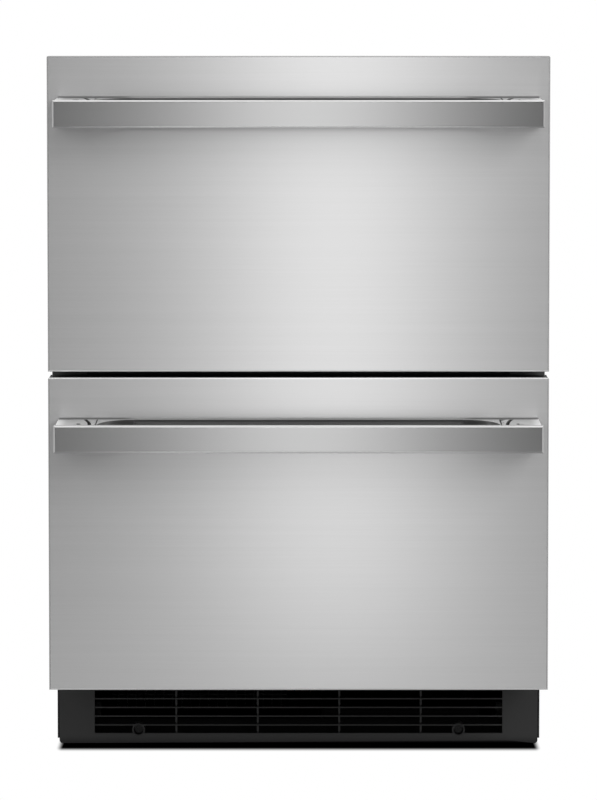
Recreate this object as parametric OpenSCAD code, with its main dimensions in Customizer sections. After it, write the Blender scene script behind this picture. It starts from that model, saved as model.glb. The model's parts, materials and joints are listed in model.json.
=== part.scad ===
// Undercounter drawer freezer: two insulated drawers on telescopic slides above a vented toe space.
// Millimetres, +Z up. The user stands at -Y. The origin lies on the floor under the middle of the object.

/* [Drawer fronts] */
// Width of both drawer fronts
front_w = 606; // [560:1:640]
// Height of each drawer front
front_h = 381; // [350:1:400]
// Thickness of each drawer front, without its seal
front_t = 48; // [40:1:60]
// Gap between the two fronts
front_gap = 7; // [4:0.5:12]
// Height of the lower front's bottom edge above the floor
toe_h = 91; // [84:1:110]
// Thickness of the stainless skin
skin_t = 1; // [0.8:0.1:1.5]
// Depth of the skin's hem along the top and bottom edges
skin_hem = 4; // [3:0.5:8]
// Bend radius of the skin's front edges
edge_r = 2; // [1.6:0.1:3]
// Corner radius of the skin's upper corners, seen from the front
corner_r = 2.5; // [1:0.1:4]
// Wall of the moulded inner tub
tub_t = 2.5; // [1.5:0.1:4]
// Width of the tub's black edge that shows behind the skin
tub_edge = 5; // [3:0.5:10]
// How far the tub's raised panel stands into the cabinet's mouth from the front's back
plateau_d = 16; // [13:0.5:18]

/* [Cabinet] */
// Amount by which the fronts overhang the cabinet on each side
side_reveal = 1; // [0.5:0.5:10]
// Depth of the cabinet behind its face
cab_d = 547; // [520:1:600]
// Gap between a front's back and the cabinet's face, filled by the seal
seal_gap = 11; // [9:0.5:12]
// How far the cabinet's top lies below the top of the upper front
top_drop = 3; // [2:0.5:8]
// Side wall from the outer sheet to the liner's inside
wall_side = 43; // [36:1:50]
// Top wall from the outer sheet to the liner's inside
wall_top = 42; // [36:1:50]
// Floor under the lower liner's inside
wall_floor = 40; // [34:1:48]
// Back wall from the cabinet's back to the liner's inside
wall_back = 44; // [40:1:55]
// Height of the rail between the two mouths
mullion_h = 44; // [40:1:56]
// Steel sheet of the outer cabinet
sheet_t = 1; // [0.8:0.1:1.5]
// Wall of the moulded liners
liner_t = 1.5; // [1:0.1:2.5]
// How far the rear panel is set in from the cabinet's back edge
rear_inset = 4; // [3.5:0.5:8]
// Depth of the machine bay at the back
bay_d = 190; // [175:1:200]
// Height of the machine bay's roof above the floor
bay_h = 285; // [262:1:300]
// Gap between the lower front's bottom edge and the underside of the insulated box
box_lift = 6; // [3:0.5:12]

/* [Seals] */
// Width of a seal's face
seal_w = 15; // [12:0.5:16]
// Width of a seal's foot
seal_foot_w = 9; // [6:0.5:11]
// Height of a seal's foot
seal_foot_h = 5; // [3:0.5:7]

/* [Handles] */
// Distance from a front's side edge to the end of its handle
handle_inset = 10.5; // [4:0.5:30]
// Height of the handle bar
handle_h = 33; // [28:0.5:44]
// How far the handle stands out from the front
handle_d = 57; // [50:0.5:70]
// Thickness of the handle bar
bar_t = 12; // [8:0.5:16]
// Chamfer along the bar's front edges
bar_chamfer = 2; // [1:0.1:3]
// Distance from a front's top edge down to the handle bar's top
handle_drop = 53; // [42:0.5:70]
// Rise of the handle base's top from the bar back to the front
handle_draft = 2.4; // [0:0.1:3]
// Width of a handle post where it meets the front
post_w = 30; // [24:0.5:40]
// How much wider a handle post is at the bar
post_flare = 8; // [2:0.5:12]
// Thickness of the handle's back plate
plate_t = 2; // [1.5:0.1:4]
// Width of the open slot beside each post
slot_w = 4.2; // [3:0.1:8]
// Width of the small web beside the slot, at the bar
web_w = 4.5; // [3:0.1:8]
// Length of the curved sweep between a web and the knurled lining
grip_sweep = 45; // [30:1:60]
// Gap between a web and the curved sweep
sweep_gap = 1.3; // [0.8:0.1:3]
// Thickness of the dark grip lining
grip_t = 1.5; // [1:0.1:2.5]
// Radius of the screws that hold the handle
handle_screw_r = 2.5; // [2:0.1:3]
// Length of those screws inside a post
handle_screw_l = 18; // [10:1:30]

/* [Toe grille] */
// How far the grille's front stands behind the cabinet's face
toe_recess = 41; // [25:1:48]
// Depth of the grille moulding
grille_d = 24; // [18:0.5:28]
// Height of the grille's bottom edge above the floor
grille_lift = 6; // [4:0.5:7]
// How far the grille's ends stand in from the cabinet's sides
grille_inset = 4; // [1:0.5:8]
// Wall of the grille moulding
grille_t = 3; // [2:0.1:4]
// Width of the solid panel at each end of the vent
vent_margin = 44; // [36:1:60]
// Height of the band under the vent
vent_sill = 12.6; // [10:0.1:16]
// Distance between slats
slat_pitch = 11; // [9:0.1:14]
// Thickness of a slat
slat_t = 1.6; // [1.2:0.1:2.2]
// Depth of a slat
slat_d = 13; // [8:0.5:14]
// Number of bays between the vent's ribs
vent_bays = 5; // [3:1:8]
// Distance from the vent's end to each grille screw
screw_inset = 54.5; // [45:0.5:70]
// Radius of the round recess for a grille screw
recess_r = 7.3; // [6:0.1:8.5]

/* [Drawer runners] */
// Thickness of a telescopic slide
slide_t = 13; // [12:0.1:16]
// Height of a telescopic slide
slide_h = 44; // [36:1:50]
// Wall of the slide's members
slide_wall = 1.2; // [1:0.1:1.6]
// Distance from a bin's rim down to the middle of its slides
slide_drop = 36; // [32:1:60]
// Distance from the cabinet's face to the front end of a slide
slide_set = 8; // [7:0.5:14]
// Space left between a slide's rear end and the wall behind it
slide_spare = 12; // [8:0.5:20]
// Thickness of the drawer's side brackets
bracket_t = 1.5; // [1.2:0.1:2.5]
// Width of a bracket's front flange
bracket_flange = 25; // [15:1:40]

/* [Bins] */
// Wall of the drawer bins
bin_t = 2; // [1.5:0.1:3]
// Gap between a bin and the mouth's floor
bin_lift = 8; // [5:0.5:14]
// Distance from the mouth's ceiling down to a bin's rim
bin_drop = 52; // [44:1:70]
// Overhang of the bin's rim over the brackets
rim_over = 6; // [3:0.5:8]
// Thickness of the upper bin's divider
divider_t = 3; // [2:0.1:5]
// Height of the lower bin's sliding tray
tray_h = 55; // [40:1:80]
// Depth of the lower bin's sliding tray, front to back
tray_d = 140; // [110:1:160]
// Width of the ledges that carry the tray
ledge_w = 6; // [4:0.5:10]

/* [Controls and lights] */
// Width of the control housing
control_w = 220; // [180:1:260]
// Height of the control housing
control_h = 26; // [22:0.5:30]
// Depth of the control housing
control_d = 46; // [36:1:60]
// Radius of a control button
button_r = 6; // [4:0.1:7]
// Distance between control buttons
button_pitch = 22; // [16:0.5:26]
// Stroke of a control button
button_stroke = 1; // [0.6:0.1:1.5]
// Length of a light strip
light_l = 200; // [120:1:240]

/* [Cooling unit] */
// Depth of the space for the evaporator behind its cover
evap_d = 75; // [70:1:85]
// Length of the evaporator coil
evap_l = 400; // [300:1:440]
// Radius of the evaporator fan
evap_fan_r = 42; // [30:1:46]
// Height of the evaporator fan above the mouth's floor
evap_fan_rise = 230; // [215:1:240]
// Radius of the compressor's shell
comp_r = 70; // [55:1:74]
// Height of the compressor's shell
comp_h = 165; // [140:1:180]
// Distance from the cabinet's side to the compressor's middle
comp_inset = 152; // [115:1:163]
// Radius of the condenser fan
cond_fan_r = 54; // [44:1:58]
// Distance from the cabinet's side to the condenser fan's middle
cond_inset = 172; // [128:1:178]
// Wall of the condenser fan's shroud
shroud_t = 4; // [2:0.5:6]
// Distance from the condenser fan's middle to the front of its shroud
shroud_set = 24; // [18:0.5:30]
// Length of the condenser
cond_l = 230; // [160:1:240]
// Depth of the condenser
cond_d = 60; // [40:1:70]
// Number of fins on the evaporator
evap_fins = 25; // [15:1:41]
// Number of fins on the condenser
cond_fins = 19; // [11:1:31]
// Distance from the cabinet's side to the middle of the cord gland
gland_inset = 52; // [40:1:80]
// Radius of the opening in the cord gland
gland_bore_r = 4.2; // [3:0.1:5]

/* [Base and levelling legs] */
// Thickness of the base pan
pan_t = 1.5; // [1.2:0.1:2.5]
// Height of the base pan's underside above the floor
pan_lift = 8; // [7.5:0.1:12]
// Radius of a leg's threaded stud
stud_r = 5; // [4:0.1:6]
// Radius of a leg's foot
foot_r = 18; // [14:0.5:24]
// How far a leg screws out
leg_travel = 20; // [15:1:25]
// Distance from the cabinet's side to a leg
leg_inset = 48; // [38:1:62]

/* [Clearances] */
// Gap between pieces that move past each other
run_gap = 0.3; // [0.2:0.05:0.5]
// Radial gap between a shaft and its hole
shaft_gap = 0.05; // [0.03:0.01:0.09]
// Gap between the drawer front's raised panel and the mouth
mouth_gap = 6; // [4:0.5:10]

/* [Hidden] */
$fn = 48;

// Depths, front to back
total_d = handle_d + front_t + seal_gap + cab_d;
y_handle = -total_d / 2;
y_front = y_handle + handle_d;
y_inner = y_front + front_t;
y_face = y_inner + seal_gap;
y_back = y_face + cab_d;
y_rear = y_back - rear_inset; // outer face of the rear panel
y_bay = y_back - bay_d;
y_grille = y_face + toe_recess;
y_toe = y_grille + grille_d;

// Widths
cab_w = front_w - 2 * side_reveal;
cab_x = cab_w / 2;
mouth_x = cab_x - wall_side;
plateau_x = mouth_x - mouth_gap;
x_inner_slide = mouth_x - slide_t;
x_bracket = x_inner_slide - bracket_t;
bin_x = x_bracket - 0.5;

// Heights
z_low = toe_h;
z_low_top = z_low + front_h;
z_up = z_low_top + front_gap;
z_up_top = z_up + front_h;
z_cab = z_up_top - top_drop;
z_mid = (z_low_top + z_up) / 2;
z_roof = z_low - box_lift + 12; // underside of the insulated box at the front
low_mouth = [z_roof + wall_floor, z_mid - mullion_h / 2];
up_mouth = [z_mid + mullion_h / 2, z_cab - wall_top];
z_pan = pan_lift + pan_t;

// Mouth depths behind the cabinet's face
up_depth = cab_d - wall_back;
low_depth = cab_d - bay_d - wall_back + rear_inset;
y_cover = y_face + up_depth - evap_d;
up_clear = up_depth - evap_d;
up_slide_l = up_clear - slide_set - slide_spare;
low_slide_l = low_depth - slide_set - slide_spare;

// Handle
handle_x = front_w / 2 - handle_inset;
post_x = handle_x - bar_chamfer;
post_in = post_x - post_w; // inner side of a post at the front
web_x = post_in - post_flare - slot_w;
grip_x = web_x - web_w;
knurl_x = grip_x - grip_sweep;
post_mid = (post_x + post_in) / 2;

// Toe grille
grille_x = cab_x - grille_inset;
vent_x = grille_x - vent_margin;
vent_z = grille_lift + vent_sill;
screw_x = vent_x - screw_inset;
screw_z = vent_z + 4;
grille_boss_y = y_grille + 9;

// Machine bay
comp_x = cab_x - comp_inset;
cond_fan_x = cab_x - cond_inset;
comp_y = (y_bay + y_rear - sheet_t) / 2;
grommet_h = 14;
comp_top = z_pan + grommet_h + 2 + comp_h;
port_x = comp_x + 30; // suction port on the front of the shell
port_z = z_pan + 95;
port_l = 4;
cond_fan_y = y_bay + 46;
cond_fan_z = z_pan + cond_fan_r + 9;
shroud_half = cond_fan_r + 8;
motor_d = 30;
evap_shaft_l = 16;
cond_shaft_l = 18;
fan_shaft_r = 2.5;

// General shapes
function pm(half) = [-half, half];

module box(x, y, z) {
    translate([x[0], y[0], z[0]]) cube([x[1] - x[0], y[1] - y[0], z[1] - z[0]]);
}

module both_sides() {
    children();
    mirror([1, 0, 0]) children();
}

module along_x(x) { // extrudes an outline drawn in depth and height
    translate([x[0], 0, 0]) rotate([90, 0, 90]) linear_extrude(x[1] - x[0]) children();
}

module along_y(y) { // extrudes an outline drawn in width and height
    translate([0, y[1], 0]) rotate([90, 0, 0]) linear_extrude(y[1] - y[0]) children();
}

module along_z(z) { // extrudes an outline drawn in width and depth
    translate([0, 0, z[0]]) linear_extrude(z[1] - z[0]) children();
}

module rod_y(x, y, z, r) {
    translate([x, y[0], z]) rotate([-90, 0, 0]) cylinder(h = y[1] - y[0], r = r);
}

module rod_z(x, y, z, r) {
    translate([x, y, z[0]]) cylinder(h = z[1] - z[0], r = r);
}

module rod_x(x, y, z, r) {
    translate([x[0], y, z]) rotate([0, 90, 0]) cylinder(h = x[1] - x[0], r = r);
}

module round_low_corners(u, v, r) { // rectangle with both corners at the low v rounded
    translate([u[0], v[0] + r]) square([u[1] - u[0], v[1] - v[0] - r]);
    translate([u[0] + r, v[0]]) square([u[1] - u[0] - 2 * r, v[1] - v[0]]);
    for (c = [u[0] + r, u[1] - r]) translate([c, v[0] + r]) circle(r);
}

module round_rect(u, v, r) {
    translate([u[0], v[0] + r]) square([u[1] - u[0], v[1] - v[0] - 2 * r]);
    translate([u[0] + r, v[0]]) square([u[1] - u[0] - 2 * r, v[1] - v[0]]);
    for (c = [u[0] + r, u[1] - r], d = [v[0] + r, v[1] - r]) translate([c, d]) circle(r);
}

// Cabinet
module cabinet_wrapper() {
    color("dimgray") difference() {
        box(pm(cab_x), [y_face, y_back], [pan_lift, z_cab]);
        box(pm(cab_x - sheet_t), [y_face + sheet_t, y_back + 1], [pan_lift - 1, z_cab - sheet_t]);
        box(pm(mouth_x), [y_face - 1, y_face + sheet_t + 1], [low_mouth[0], up_mouth[1]]);
        box(pm(cab_x + 1), [y_face - 1, y_toe], [pan_lift - 1, z_roof]);
        each_rivet_nut() cylinder(h = 20, r = 4.5, center = true);
    }
}

module each_rivet_nut() {
    for (x = [-1, 1], y = [y_face + 60, y_back - 80])
        translate([x * (mouth_x - 39), y, z_cab]) children();
}

module rivet_nuts() {
    color("silver") each_rivet_nut() difference() {
        union() {
            translate([0, 0, -12]) cylinder(h = 12, r = 4.5);
            cylinder(h = 0.8, r = 7);
        }
        translate([0, 0, -10.2]) cylinder(h = 12, r = 2.1);
    }
}

module rear_panel() {
    slots = [for (col = [-1:1], row = [0:7]) [col * 150, 90 + row * 20]];
    color("gray") difference() {
        box(pm(cab_x - sheet_t), [y_rear - sheet_t, y_rear], [pan_lift, z_cab - sheet_t]);
        for (s = slots)
            box([s[0] - 50, s[0] + 50], [y_rear - sheet_t - 1, y_rear + 1], [s[1], s[1] + 6]);
        rod_y(-gland_x, [y_rear - sheet_t - 1, y_rear + 1], gland_z, 9);
    }
}

module bay_roof() {
    t = sheet_t;
    y0 = y_face + t;
    y1 = y_rear - t;
    color("#1c1c1c") along_x(pm(cab_x - t)) polygon([
        [y0, z_roof], [y_bay, z_roof], [y_bay, bay_h], [y1, bay_h],
        [y1, bay_h + t], [y_bay - t, bay_h + t], [y_bay - t, z_roof + t], [y0, z_roof + t]
    ]);
}

module low_liner_outline(grow) { // inside of the lower liner, stepped over the machine bay
    y0 = y_face + sheet_t;
    y_step = y_face + low_depth + grow;
    y1 = y_face + up_depth + grow;
    z0 = low_mouth[0] - grow;
    z1 = low_mouth[1] + grow;
    z_step = bay_h + wall_floor - grow;
    polygon([[y0, z0], [y_step, z0], [y_step, z_step], [y1, z_step], [y1, z1], [y0, z1]]);
}

module upper_liner() {
    color("whitesmoke") difference() {
        box(pm(mouth_x + liner_t), [y_face + sheet_t, y_face + up_depth + liner_t],
            [up_mouth[0] - liner_t, up_mouth[1] + liner_t]);
        box(pm(mouth_x), [y_face, y_face + up_depth], up_mouth);
    }
}

module lower_liner() {
    color("whitesmoke") difference() {
        along_x(pm(mouth_x + liner_t)) low_liner_outline(liner_t);
        along_x(pm(mouth_x)) low_liner_outline(0);
        box(pm(mouth_x), [y_face, y_face + sheet_t + 1], low_mouth);
    }
}

module insulation_foam() {
    t = sheet_t;
    color("khaki") difference() {
        along_x(pm(cab_x - t)) polygon([
            [y_face + t, z_roof + t], [y_bay - t, z_roof + t], [y_bay - t, bay_h + t],
            [y_rear - t, bay_h + t], [y_rear - t, z_cab - t], [y_face + t, z_cab - t]
        ]);
        box(pm(mouth_x + liner_t), [y_face, y_face + up_depth + liner_t],
            [up_mouth[0] - liner_t, up_mouth[1] + liner_t]);
        along_x(pm(mouth_x + liner_t)) low_liner_outline(liner_t);
        box(pm(mouth_x), [y_face, y_face + mullion_return], mullion_z());
        each_rivet_nut() translate([0, 0, -13]) cylinder(h = 20, r = 4.6);
    }
}

mullion_return = 12;

function mullion_z() = [low_mouth[1] + liner_t, up_mouth[0] - liner_t];

module centre_mullion() {
    z = mullion_z();
    color("black") {
        box(pm(mouth_x), [y_face, y_face + sheet_t], [low_mouth[1], up_mouth[0]]);
        box(pm(mouth_x), [y_face, y_face + mullion_return], [z[0], z[0] + sheet_t]);
        box(pm(mouth_x), [y_face, y_face + mullion_return], [z[1] - sheet_t, z[1]]);
    }
}

// Toe grille
module toe_grille() {
    z = [grille_lift, z_roof];
    slats = floor((z[1] - vent_z) / slat_pitch);
    color("#2e2e2e") difference() {
        union() {
            difference() {
                along_y([y_grille, y_toe]) round_low_corners(pm(grille_x), z, 4);
                box(pm(grille_x - grille_t), [y_grille + grille_t, y_toe + 1],
                    [z[0] + grille_t, z[1] - grille_t]);
                box(pm(vent_x), [y_grille - 1, y_grille + grille_t + 1], [vent_z, z[1] - grille_t]);
                both_sides() rod_y(screw_x, [y_grille - 1, y_grille + grille_t + 1], screw_z, recess_r);
            }
            for (i = [1:slats]) translate([0, y_grille + 0.6, vent_z + i * slat_pitch - slat_t / 2])
                if (i * slat_pitch < z[1] - vent_z - grille_t) rotate([-8, 0, 0])
                    translate([-vent_x - 1, 0, -slat_t / 2]) cube([2 * vent_x + 2, slat_d, slat_t]);
            for (i = [1:vent_bays - 1])
                translate([-vent_x + i * 2 * vent_x / vent_bays, 0, 0])
                    box(pm(slat_t / 2), [y_grille + 2.5, y_grille + slat_d], [z[0] + 1, z[1] - 1]);
            both_sides() grille_boss();
        }
        both_sides() rod_y(screw_x, [y_grille - 1, y_toe + 1], screw_z, 2.5);
        both_sides() rod_y(screw_x, [y_grille - 1, grille_boss_y], screw_z, recess_r - 1);
    }
}

module grille_boss() {
    rod_y(screw_x, [y_grille + 1, y_toe], screw_z, recess_r + 0.6);
    box([screw_x - recess_r, screw_x + recess_r], [y_grille + grille_t, y_toe],
        [grille_lift + 1, screw_z]);
}

module grille_screws() {
    color("#202020") both_sides() difference() {
        union() {
            rod_y(screw_x, [grille_boss_y - 3, grille_boss_y], screw_z, 5);
            rod_y(screw_x, [grille_boss_y, y_toe + pan_t + 4], screw_z, 2.4);
        }
        for (a = [0, 90]) translate([screw_x, grille_boss_y - 3, screw_z]) rotate([0, a, 0])
            cube([5.5, 2.4, 1.2], center = true);
    }
}

// Base and levelling legs
leg_x = cab_x - leg_inset;
leg_front_y = y_toe + 38;
leg_rear_y = y_rear - 45;
boss_h = 12;

module each_leg() {
    for (x = [-leg_x, leg_x], y = [leg_front_y, leg_rear_y]) translate([x, y, 0]) children();
}

module base_pan() {
    x = cab_x - sheet_t;
    y1 = y_rear - sheet_t;
    color("#1c1c1c") difference() {
        union() {
            box(pm(x), [y_toe, y1], [pan_lift, z_pan]);
            box(pm(x), [y_toe, y_toe + pan_t], [pan_lift, screw_z + 10]);
            box(pm(x), [y1 - pan_t, y1], [pan_lift, pan_lift + 20]);
            each_leg() translate([0, 0, pan_lift]) cylinder(h = pan_t + boss_h, r = stud_r + 6);
        }
        each_leg() translate([0, 0, pan_lift - 1]) cylinder(h = boss_h + 10, r = stud_r + shaft_gap);
        both_sides() rod_y(screw_x, [y_toe - 1, y_toe + pan_t + 1], screw_z, 2.5);
    }
}

module leg(x, y) {
    foot_h = pan_lift - run_gap;
    color("#303030") translate([x, y, 0]) {
        rotate_extrude() polygon([
            [0, 0], [foot_r, 0], [foot_r, 3.5], [foot_r - 2.5, 5], [stud_r + 3, foot_h],
            [stud_r, foot_h], [stud_r, z_pan + boss_h + leg_travel + 5],
            [stud_r - 1, z_pan + boss_h + leg_travel + 6], [0, z_pan + boss_h + leg_travel + 6]
        ]);
    }
}

// Drawer fronts
module front_block(z, depth) { // the front's outer form with its bent edges
    intersection() {
        along_z(z) round_low_corners(pm(front_w / 2), [y_front, y_front + depth], edge_r);
        along_x(pm(front_w / 2)) front_side_outline(z, depth);
        along_y([y_front, y_front + depth]) front_face_outline(z);
    }
}

module front_side_outline(z, depth) {
    y = [y_front, y_front + depth];
    translate([y[0] + edge_r, z[0]]) square([depth - edge_r, z[1] - z[0]]);
    translate([y[0], z[0] + edge_r]) square([depth, z[1] - z[0] - 2 * edge_r]);
    for (c = [z[0] + edge_r, z[1] - edge_r]) translate([y[0] + edge_r, c]) circle(edge_r);
}

module front_face_outline(z) {
    x = front_w / 2;
    translate([-x, z[0]]) square([2 * x, z[1] - z[0] - corner_r]);
    translate([-x + corner_r, z[0]]) square([2 * (x - corner_r), z[1] - z[0]]);
    for (c = [-x + corner_r, x - corner_r]) translate([c, z[1] - corner_r]) circle(corner_r);
}

module door_skin(z0) {
    z = [z0, z0 + front_h];
    depth = front_t - tub_edge;
    x_in = front_w / 2 - skin_t;
    color("lightgray") difference() {
        front_block(z, depth);
        box(pm(x_in), [y_front + skin_t, y_inner + 1], [z[0] + skin_t, z[1] - skin_t]);
        box(pm(x_in), [y_front + skin_hem, y_inner + 1], [z[0] - 1, z[1] + 1]);
        both_sides() rod_y(post_mid, [y_front - 1, y_front + skin_t + 1],
                           handle_mid(z0), handle_screw_r + 0.1);
    }
}

module door_inner(z0, mouth) {
    z = [z0 + 0.5, z0 + front_h - 0.5];
    x_in = front_w / 2 - skin_t;
    y_edge = y_inner - tub_edge;
    plateau_z = [mouth[0] + mouth_gap, mouth[1] - mouth_gap];
    color("#1c1c1c") difference() {
        union() {
            box(pm(x_in), [y_front + skin_hem, y_inner], z);
            box(pm(x_in + skin_t), [y_edge, y_inner], z);
            box(pm(plateau_x), [y_inner - 1, y_inner + plateau_d], plateau_z);
        }
        box(pm(x_in - tub_t), [y_front, y_inner - tub_t], [z[0] + tub_t, z[1] - tub_t]);
        box(pm(plateau_x - tub_t), [y_front, y_inner + plateau_d - tub_t],
            [plateau_z[0] + tub_t, plateau_z[1] - tub_t]);
    }
}

module door_foam(z0, mouth) {
    z = [z0 + 0.5 + tub_t, z0 + front_h - 0.5 - tub_t];
    plateau_z = [mouth[0] + mouth_gap + tub_t, mouth[1] - mouth_gap - tub_t];
    color("khaki") difference() {
        union() {
            box(pm(front_w / 2 - skin_t - tub_t), [y_front + skin_t, y_inner - tub_t], z);
            box(pm(plateau_x - tub_t), [y_inner - tub_t - 1, y_inner + plateau_d - tub_t], plateau_z);
        }
        both_sides() rod_y(post_mid, [y_front, y_front + skin_t + 4], handle_mid(z0), 6.5);
    }
}

module seal_ring(mouth, inset, width, y) {
    x = mouth_x + inset;
    difference() {
        box(pm(x + width), y, [mouth[0] - inset - width, mouth[1] + inset + width]);
        box(pm(x), [y[0] - 1, y[1] + 1], [mouth[0] - inset, mouth[1] + inset]);
    }
}

module gasket(mouth) {
    foot_inset = 1 + (seal_w - seal_foot_w) / 2;
    color("#3a3a3a") union() {
        seal_ring(mouth, foot_inset, seal_foot_w, [y_inner, y_inner + seal_foot_h]);
        seal_ring(mouth, 1, seal_w, [y_inner + seal_foot_h, y_face - run_gap]);
    }
}

// Handles
function handle_top(z0) = z0 + front_h - handle_drop;
function handle_mid(z0) = handle_top(z0) - handle_h / 2;

module handle_bar(z0) {
    z = [handle_top(z0) - handle_h, handle_top(z0)];
    y = [y_handle, y_handle + bar_t];
    c = bar_chamfer;
    color("silver") difference() {
        intersection() {
            along_x(pm(handle_x)) polygon([
                [y[0] + c, z[0]], [y[1], z[0]], [y[1], z[1]], [y[0] + c, z[1]],
                [y[0], z[1] - c], [y[0], z[0] + c]
            ]);
            along_z(z) polygon([
                [-handle_x + c, y[0]], [handle_x - c, y[0]], [handle_x, y[0] + c],
                [handle_x, y[1]], [-handle_x, y[1]], [-handle_x, y[0] + c]
            ]);
        }
        box(pm(knurl_x), [y[1] - 2, y[1] + 1], [z[0] + 4, z[1] - 4]);
    }
}

function post_side(inset) = // the curve of a post's inner side seen from above, moved inwards
    let (y = [y_front, y_handle + bar_t], steps = 10)
    [for (i = [0:steps]) [post_in - inset - post_flare * sin(90 * i / steps),
                          y[0] + (y[1] - y[0]) * i / steps]];

module post_outline() {
    polygon(concat([[post_x, y_handle + bar_t], [post_x, y_front]], post_side(0)));
}

module web_outline() { // follows the post's curve across the slot
    polygon(concat([[grip_x, y_handle + bar_t], [grip_x, y_front]], post_side(slot_w)));
}

module sweep_outline() { // a quarter ellipse from the lining's end forward to the bar
    x = [knurl_x, grip_x - sweep_gap];
    y = [y_handle + bar_t, y_front - plate_t - grip_t];
    steps = 12;
    polygon(concat(
        [[x[1], y[0]], [x[1], y_front], [x[0], y_front]],
        [for (i = [0:steps]) [
            x[0] + (x[1] - 1 - x[0]) * sin(90 * i / steps),
            y[0] + (y[1] - y[0]) * cos(90 * i / steps)
        ]]
    ));
}

module handle_base(z0) {
    zb = handle_top(z0) - handle_h;
    zt = handle_top(z0);
    y_bar = y_handle + bar_t;
    color("silver") difference() {
        intersection() {
            along_x(pm(front_w / 2)) polygon([
                [y_bar, zb], [y_front, zb], [y_front, zt + handle_draft], [y_bar, zt]
            ]);
            along_z([zb - 1, zt + handle_draft + 1]) union() {
                translate([-post_x, y_front - plate_t]) square([2 * post_x, plate_t]);
                both_sides_flat() post_outline();
                both_sides_flat() web_outline();
                both_sides_flat() sweep_outline();
            }
        }
        both_sides() rod_y(post_mid, [y_front - handle_screw_l, y_front + 1],
                           handle_mid(z0), handle_screw_r + shaft_gap);
    }
}

module both_sides_flat() {
    children();
    mirror([1, 0]) children();
}

module handle_grip(z0) {
    zb = handle_top(z0) - handle_h;
    zt = handle_top(z0);
    y_lining = [y_front - plate_t - grip_t, y_front - plate_t];
    y_bar = y_handle + bar_t;
    color("#4a4a4a") {
        box(pm(knurl_x - 0.1), y_lining, [zb, zt + 0.4]);
        both_sides() box([post_in - slot_w - 0.4, post_in - 1.1], y_lining, [zb, zt + 0.4]);
        box(pm(knurl_x), [y_bar - 2, y_bar + 0.8], [zb + 4, zt - 4]);
    }
}

module handle_screws(z0) {
    color("gray") both_sides() {
        rod_y(post_mid, [y_front - handle_screw_l + 1, y_front + skin_t + 1],
              handle_mid(z0), handle_screw_r);
        rod_y(post_mid, [y_front + skin_t, y_front + skin_t + 3], handle_mid(z0), 5);
    }
}

// Telescopic slides, written for the right side and mirrored
module channel(x, y, z, wall, open_low) { // C section whose web is at the high or the low x
    difference() {
        box(x, y, z);
        box(open_low ? [x[0] - 1, x[1] - wall] : [x[0] + wall, x[1] + 1],
            [y[0] - 1, y[1] + 1], [z[0] + wall, z[1] - wall]);
    }
}

function slide_y(length) = [y_face + slide_set, y_face + slide_set + length];

function member_z(mouth, level) = // level 0 is the outer member, 1 the middle, 2 the inner
    let (half = slide_h / 2 - level * (slide_wall + run_gap), mid = rim_z(mouth) - slide_drop)
    [mid - half, mid + half];

module outer_slide(mouth, length) {
    both_sides() channel([x_inner_slide + 1, mouth_x], slide_y(length), member_z(mouth, 0),
                         slide_wall, true);
}

module outer_slides() {
    color("silver") {
        outer_slide(up_mouth, up_slide_l);
        outer_slide(low_mouth, low_slide_l);
    }
}

module mid_slides(mouth, length) {
    x = [x_inner_slide + 1.5, mouth_x - slide_wall - run_gap];
    color("gainsboro") both_sides() channel(x, slide_y(length), member_z(mouth, 1), slide_wall, true);
}

function rim_z(mouth) = mouth[1] - bin_drop; // top of a bin's rim

module side_runners(mouth, length) { // drawer bracket with the slide's inner member
    x = [x_inner_slide, mouth_x - 2 * (slide_wall + run_gap)];
    y0 = y_inner + plateau_d;
    y1 = slide_y(length)[1];
    z = [member_z(mouth, 0)[0], rim_z(mouth) - bin_t];
    color("gainsboro") both_sides() {
        channel(x, slide_y(length), member_z(mouth, 2), slide_wall, false);
        box([x_bracket, x_inner_slide], [y0, y1], z);
        box([x_inner_slide - bracket_flange, x_inner_slide], [y0, y0 + bracket_t], z);
    }
}

// Bins
bin_y0 = y_inner + plateau_d + bracket_t + 1;

module bin(mouth, y1) {
    z = [mouth[0] + bin_lift, rim_z(mouth)];
    difference() {
        union() {
            along_y([bin_y0, y1]) round_low_corners(pm(bin_x), z, 12);
            box(pm(bin_x + rim_over), [bin_y0, y1], [z[1] - bin_t, z[1]]);
        }
        along_y([bin_y0 + bin_t, y1 - bin_t])
            round_low_corners(pm(bin_x - bin_t), [z[0] + bin_t, z[1] + 1], 12 - bin_t);
    }
}

up_bin_y1 = y_cover - 10;
low_bin_y1 = y_face + low_depth - 6;
tray_z = [rim_z(low_mouth) - tray_h - 2, rim_z(low_mouth) - 2];

module upper_bin() {
    color("#d9dcde") bin(up_mouth, up_bin_y1);
}

module lower_bin() {
    x_wall = bin_x - bin_t;
    ledge_z = tray_z[0] - run_gap;
    color("#d9dcde") {
        bin(low_mouth, low_bin_y1);
        both_sides() box([x_wall - ledge_w, x_wall + 0.5], [bin_y0 + 1, low_bin_y1 - 1],
                         [ledge_z - 4, ledge_z]);
    }
}

module upper_divider() {
    y = (bin_y0 + up_bin_y1) / 2;
    x = bin_x - bin_t - 0.5;
    z_rim = rim_z(up_mouth);
    color("#8f9498") {
        box(pm(x), [y - divider_t / 2, y + divider_t / 2],
            [up_mouth[0] + bin_lift + 12, z_rim + run_gap + 1]);
        box(pm(bin_x + rim_over - 1), [y - 7, y + 7], [z_rim + run_gap, z_rim + run_gap + 4]);
    }
}

module lower_tray() {
    x = bin_x - bin_t - 1;
    y0 = bin_y0 + bin_t + 1;
    color("#e6e8ea") difference() {
        along_z(tray_z) round_rect(pm(x), [y0, y0 + tray_d], 8);
        along_z([tray_z[0] + bin_t, tray_z[1] + 1])
            round_rect(pm(x - bin_t), [y0 + bin_t, y0 + tray_d - bin_t], 8 - bin_t);
    }
}

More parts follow.
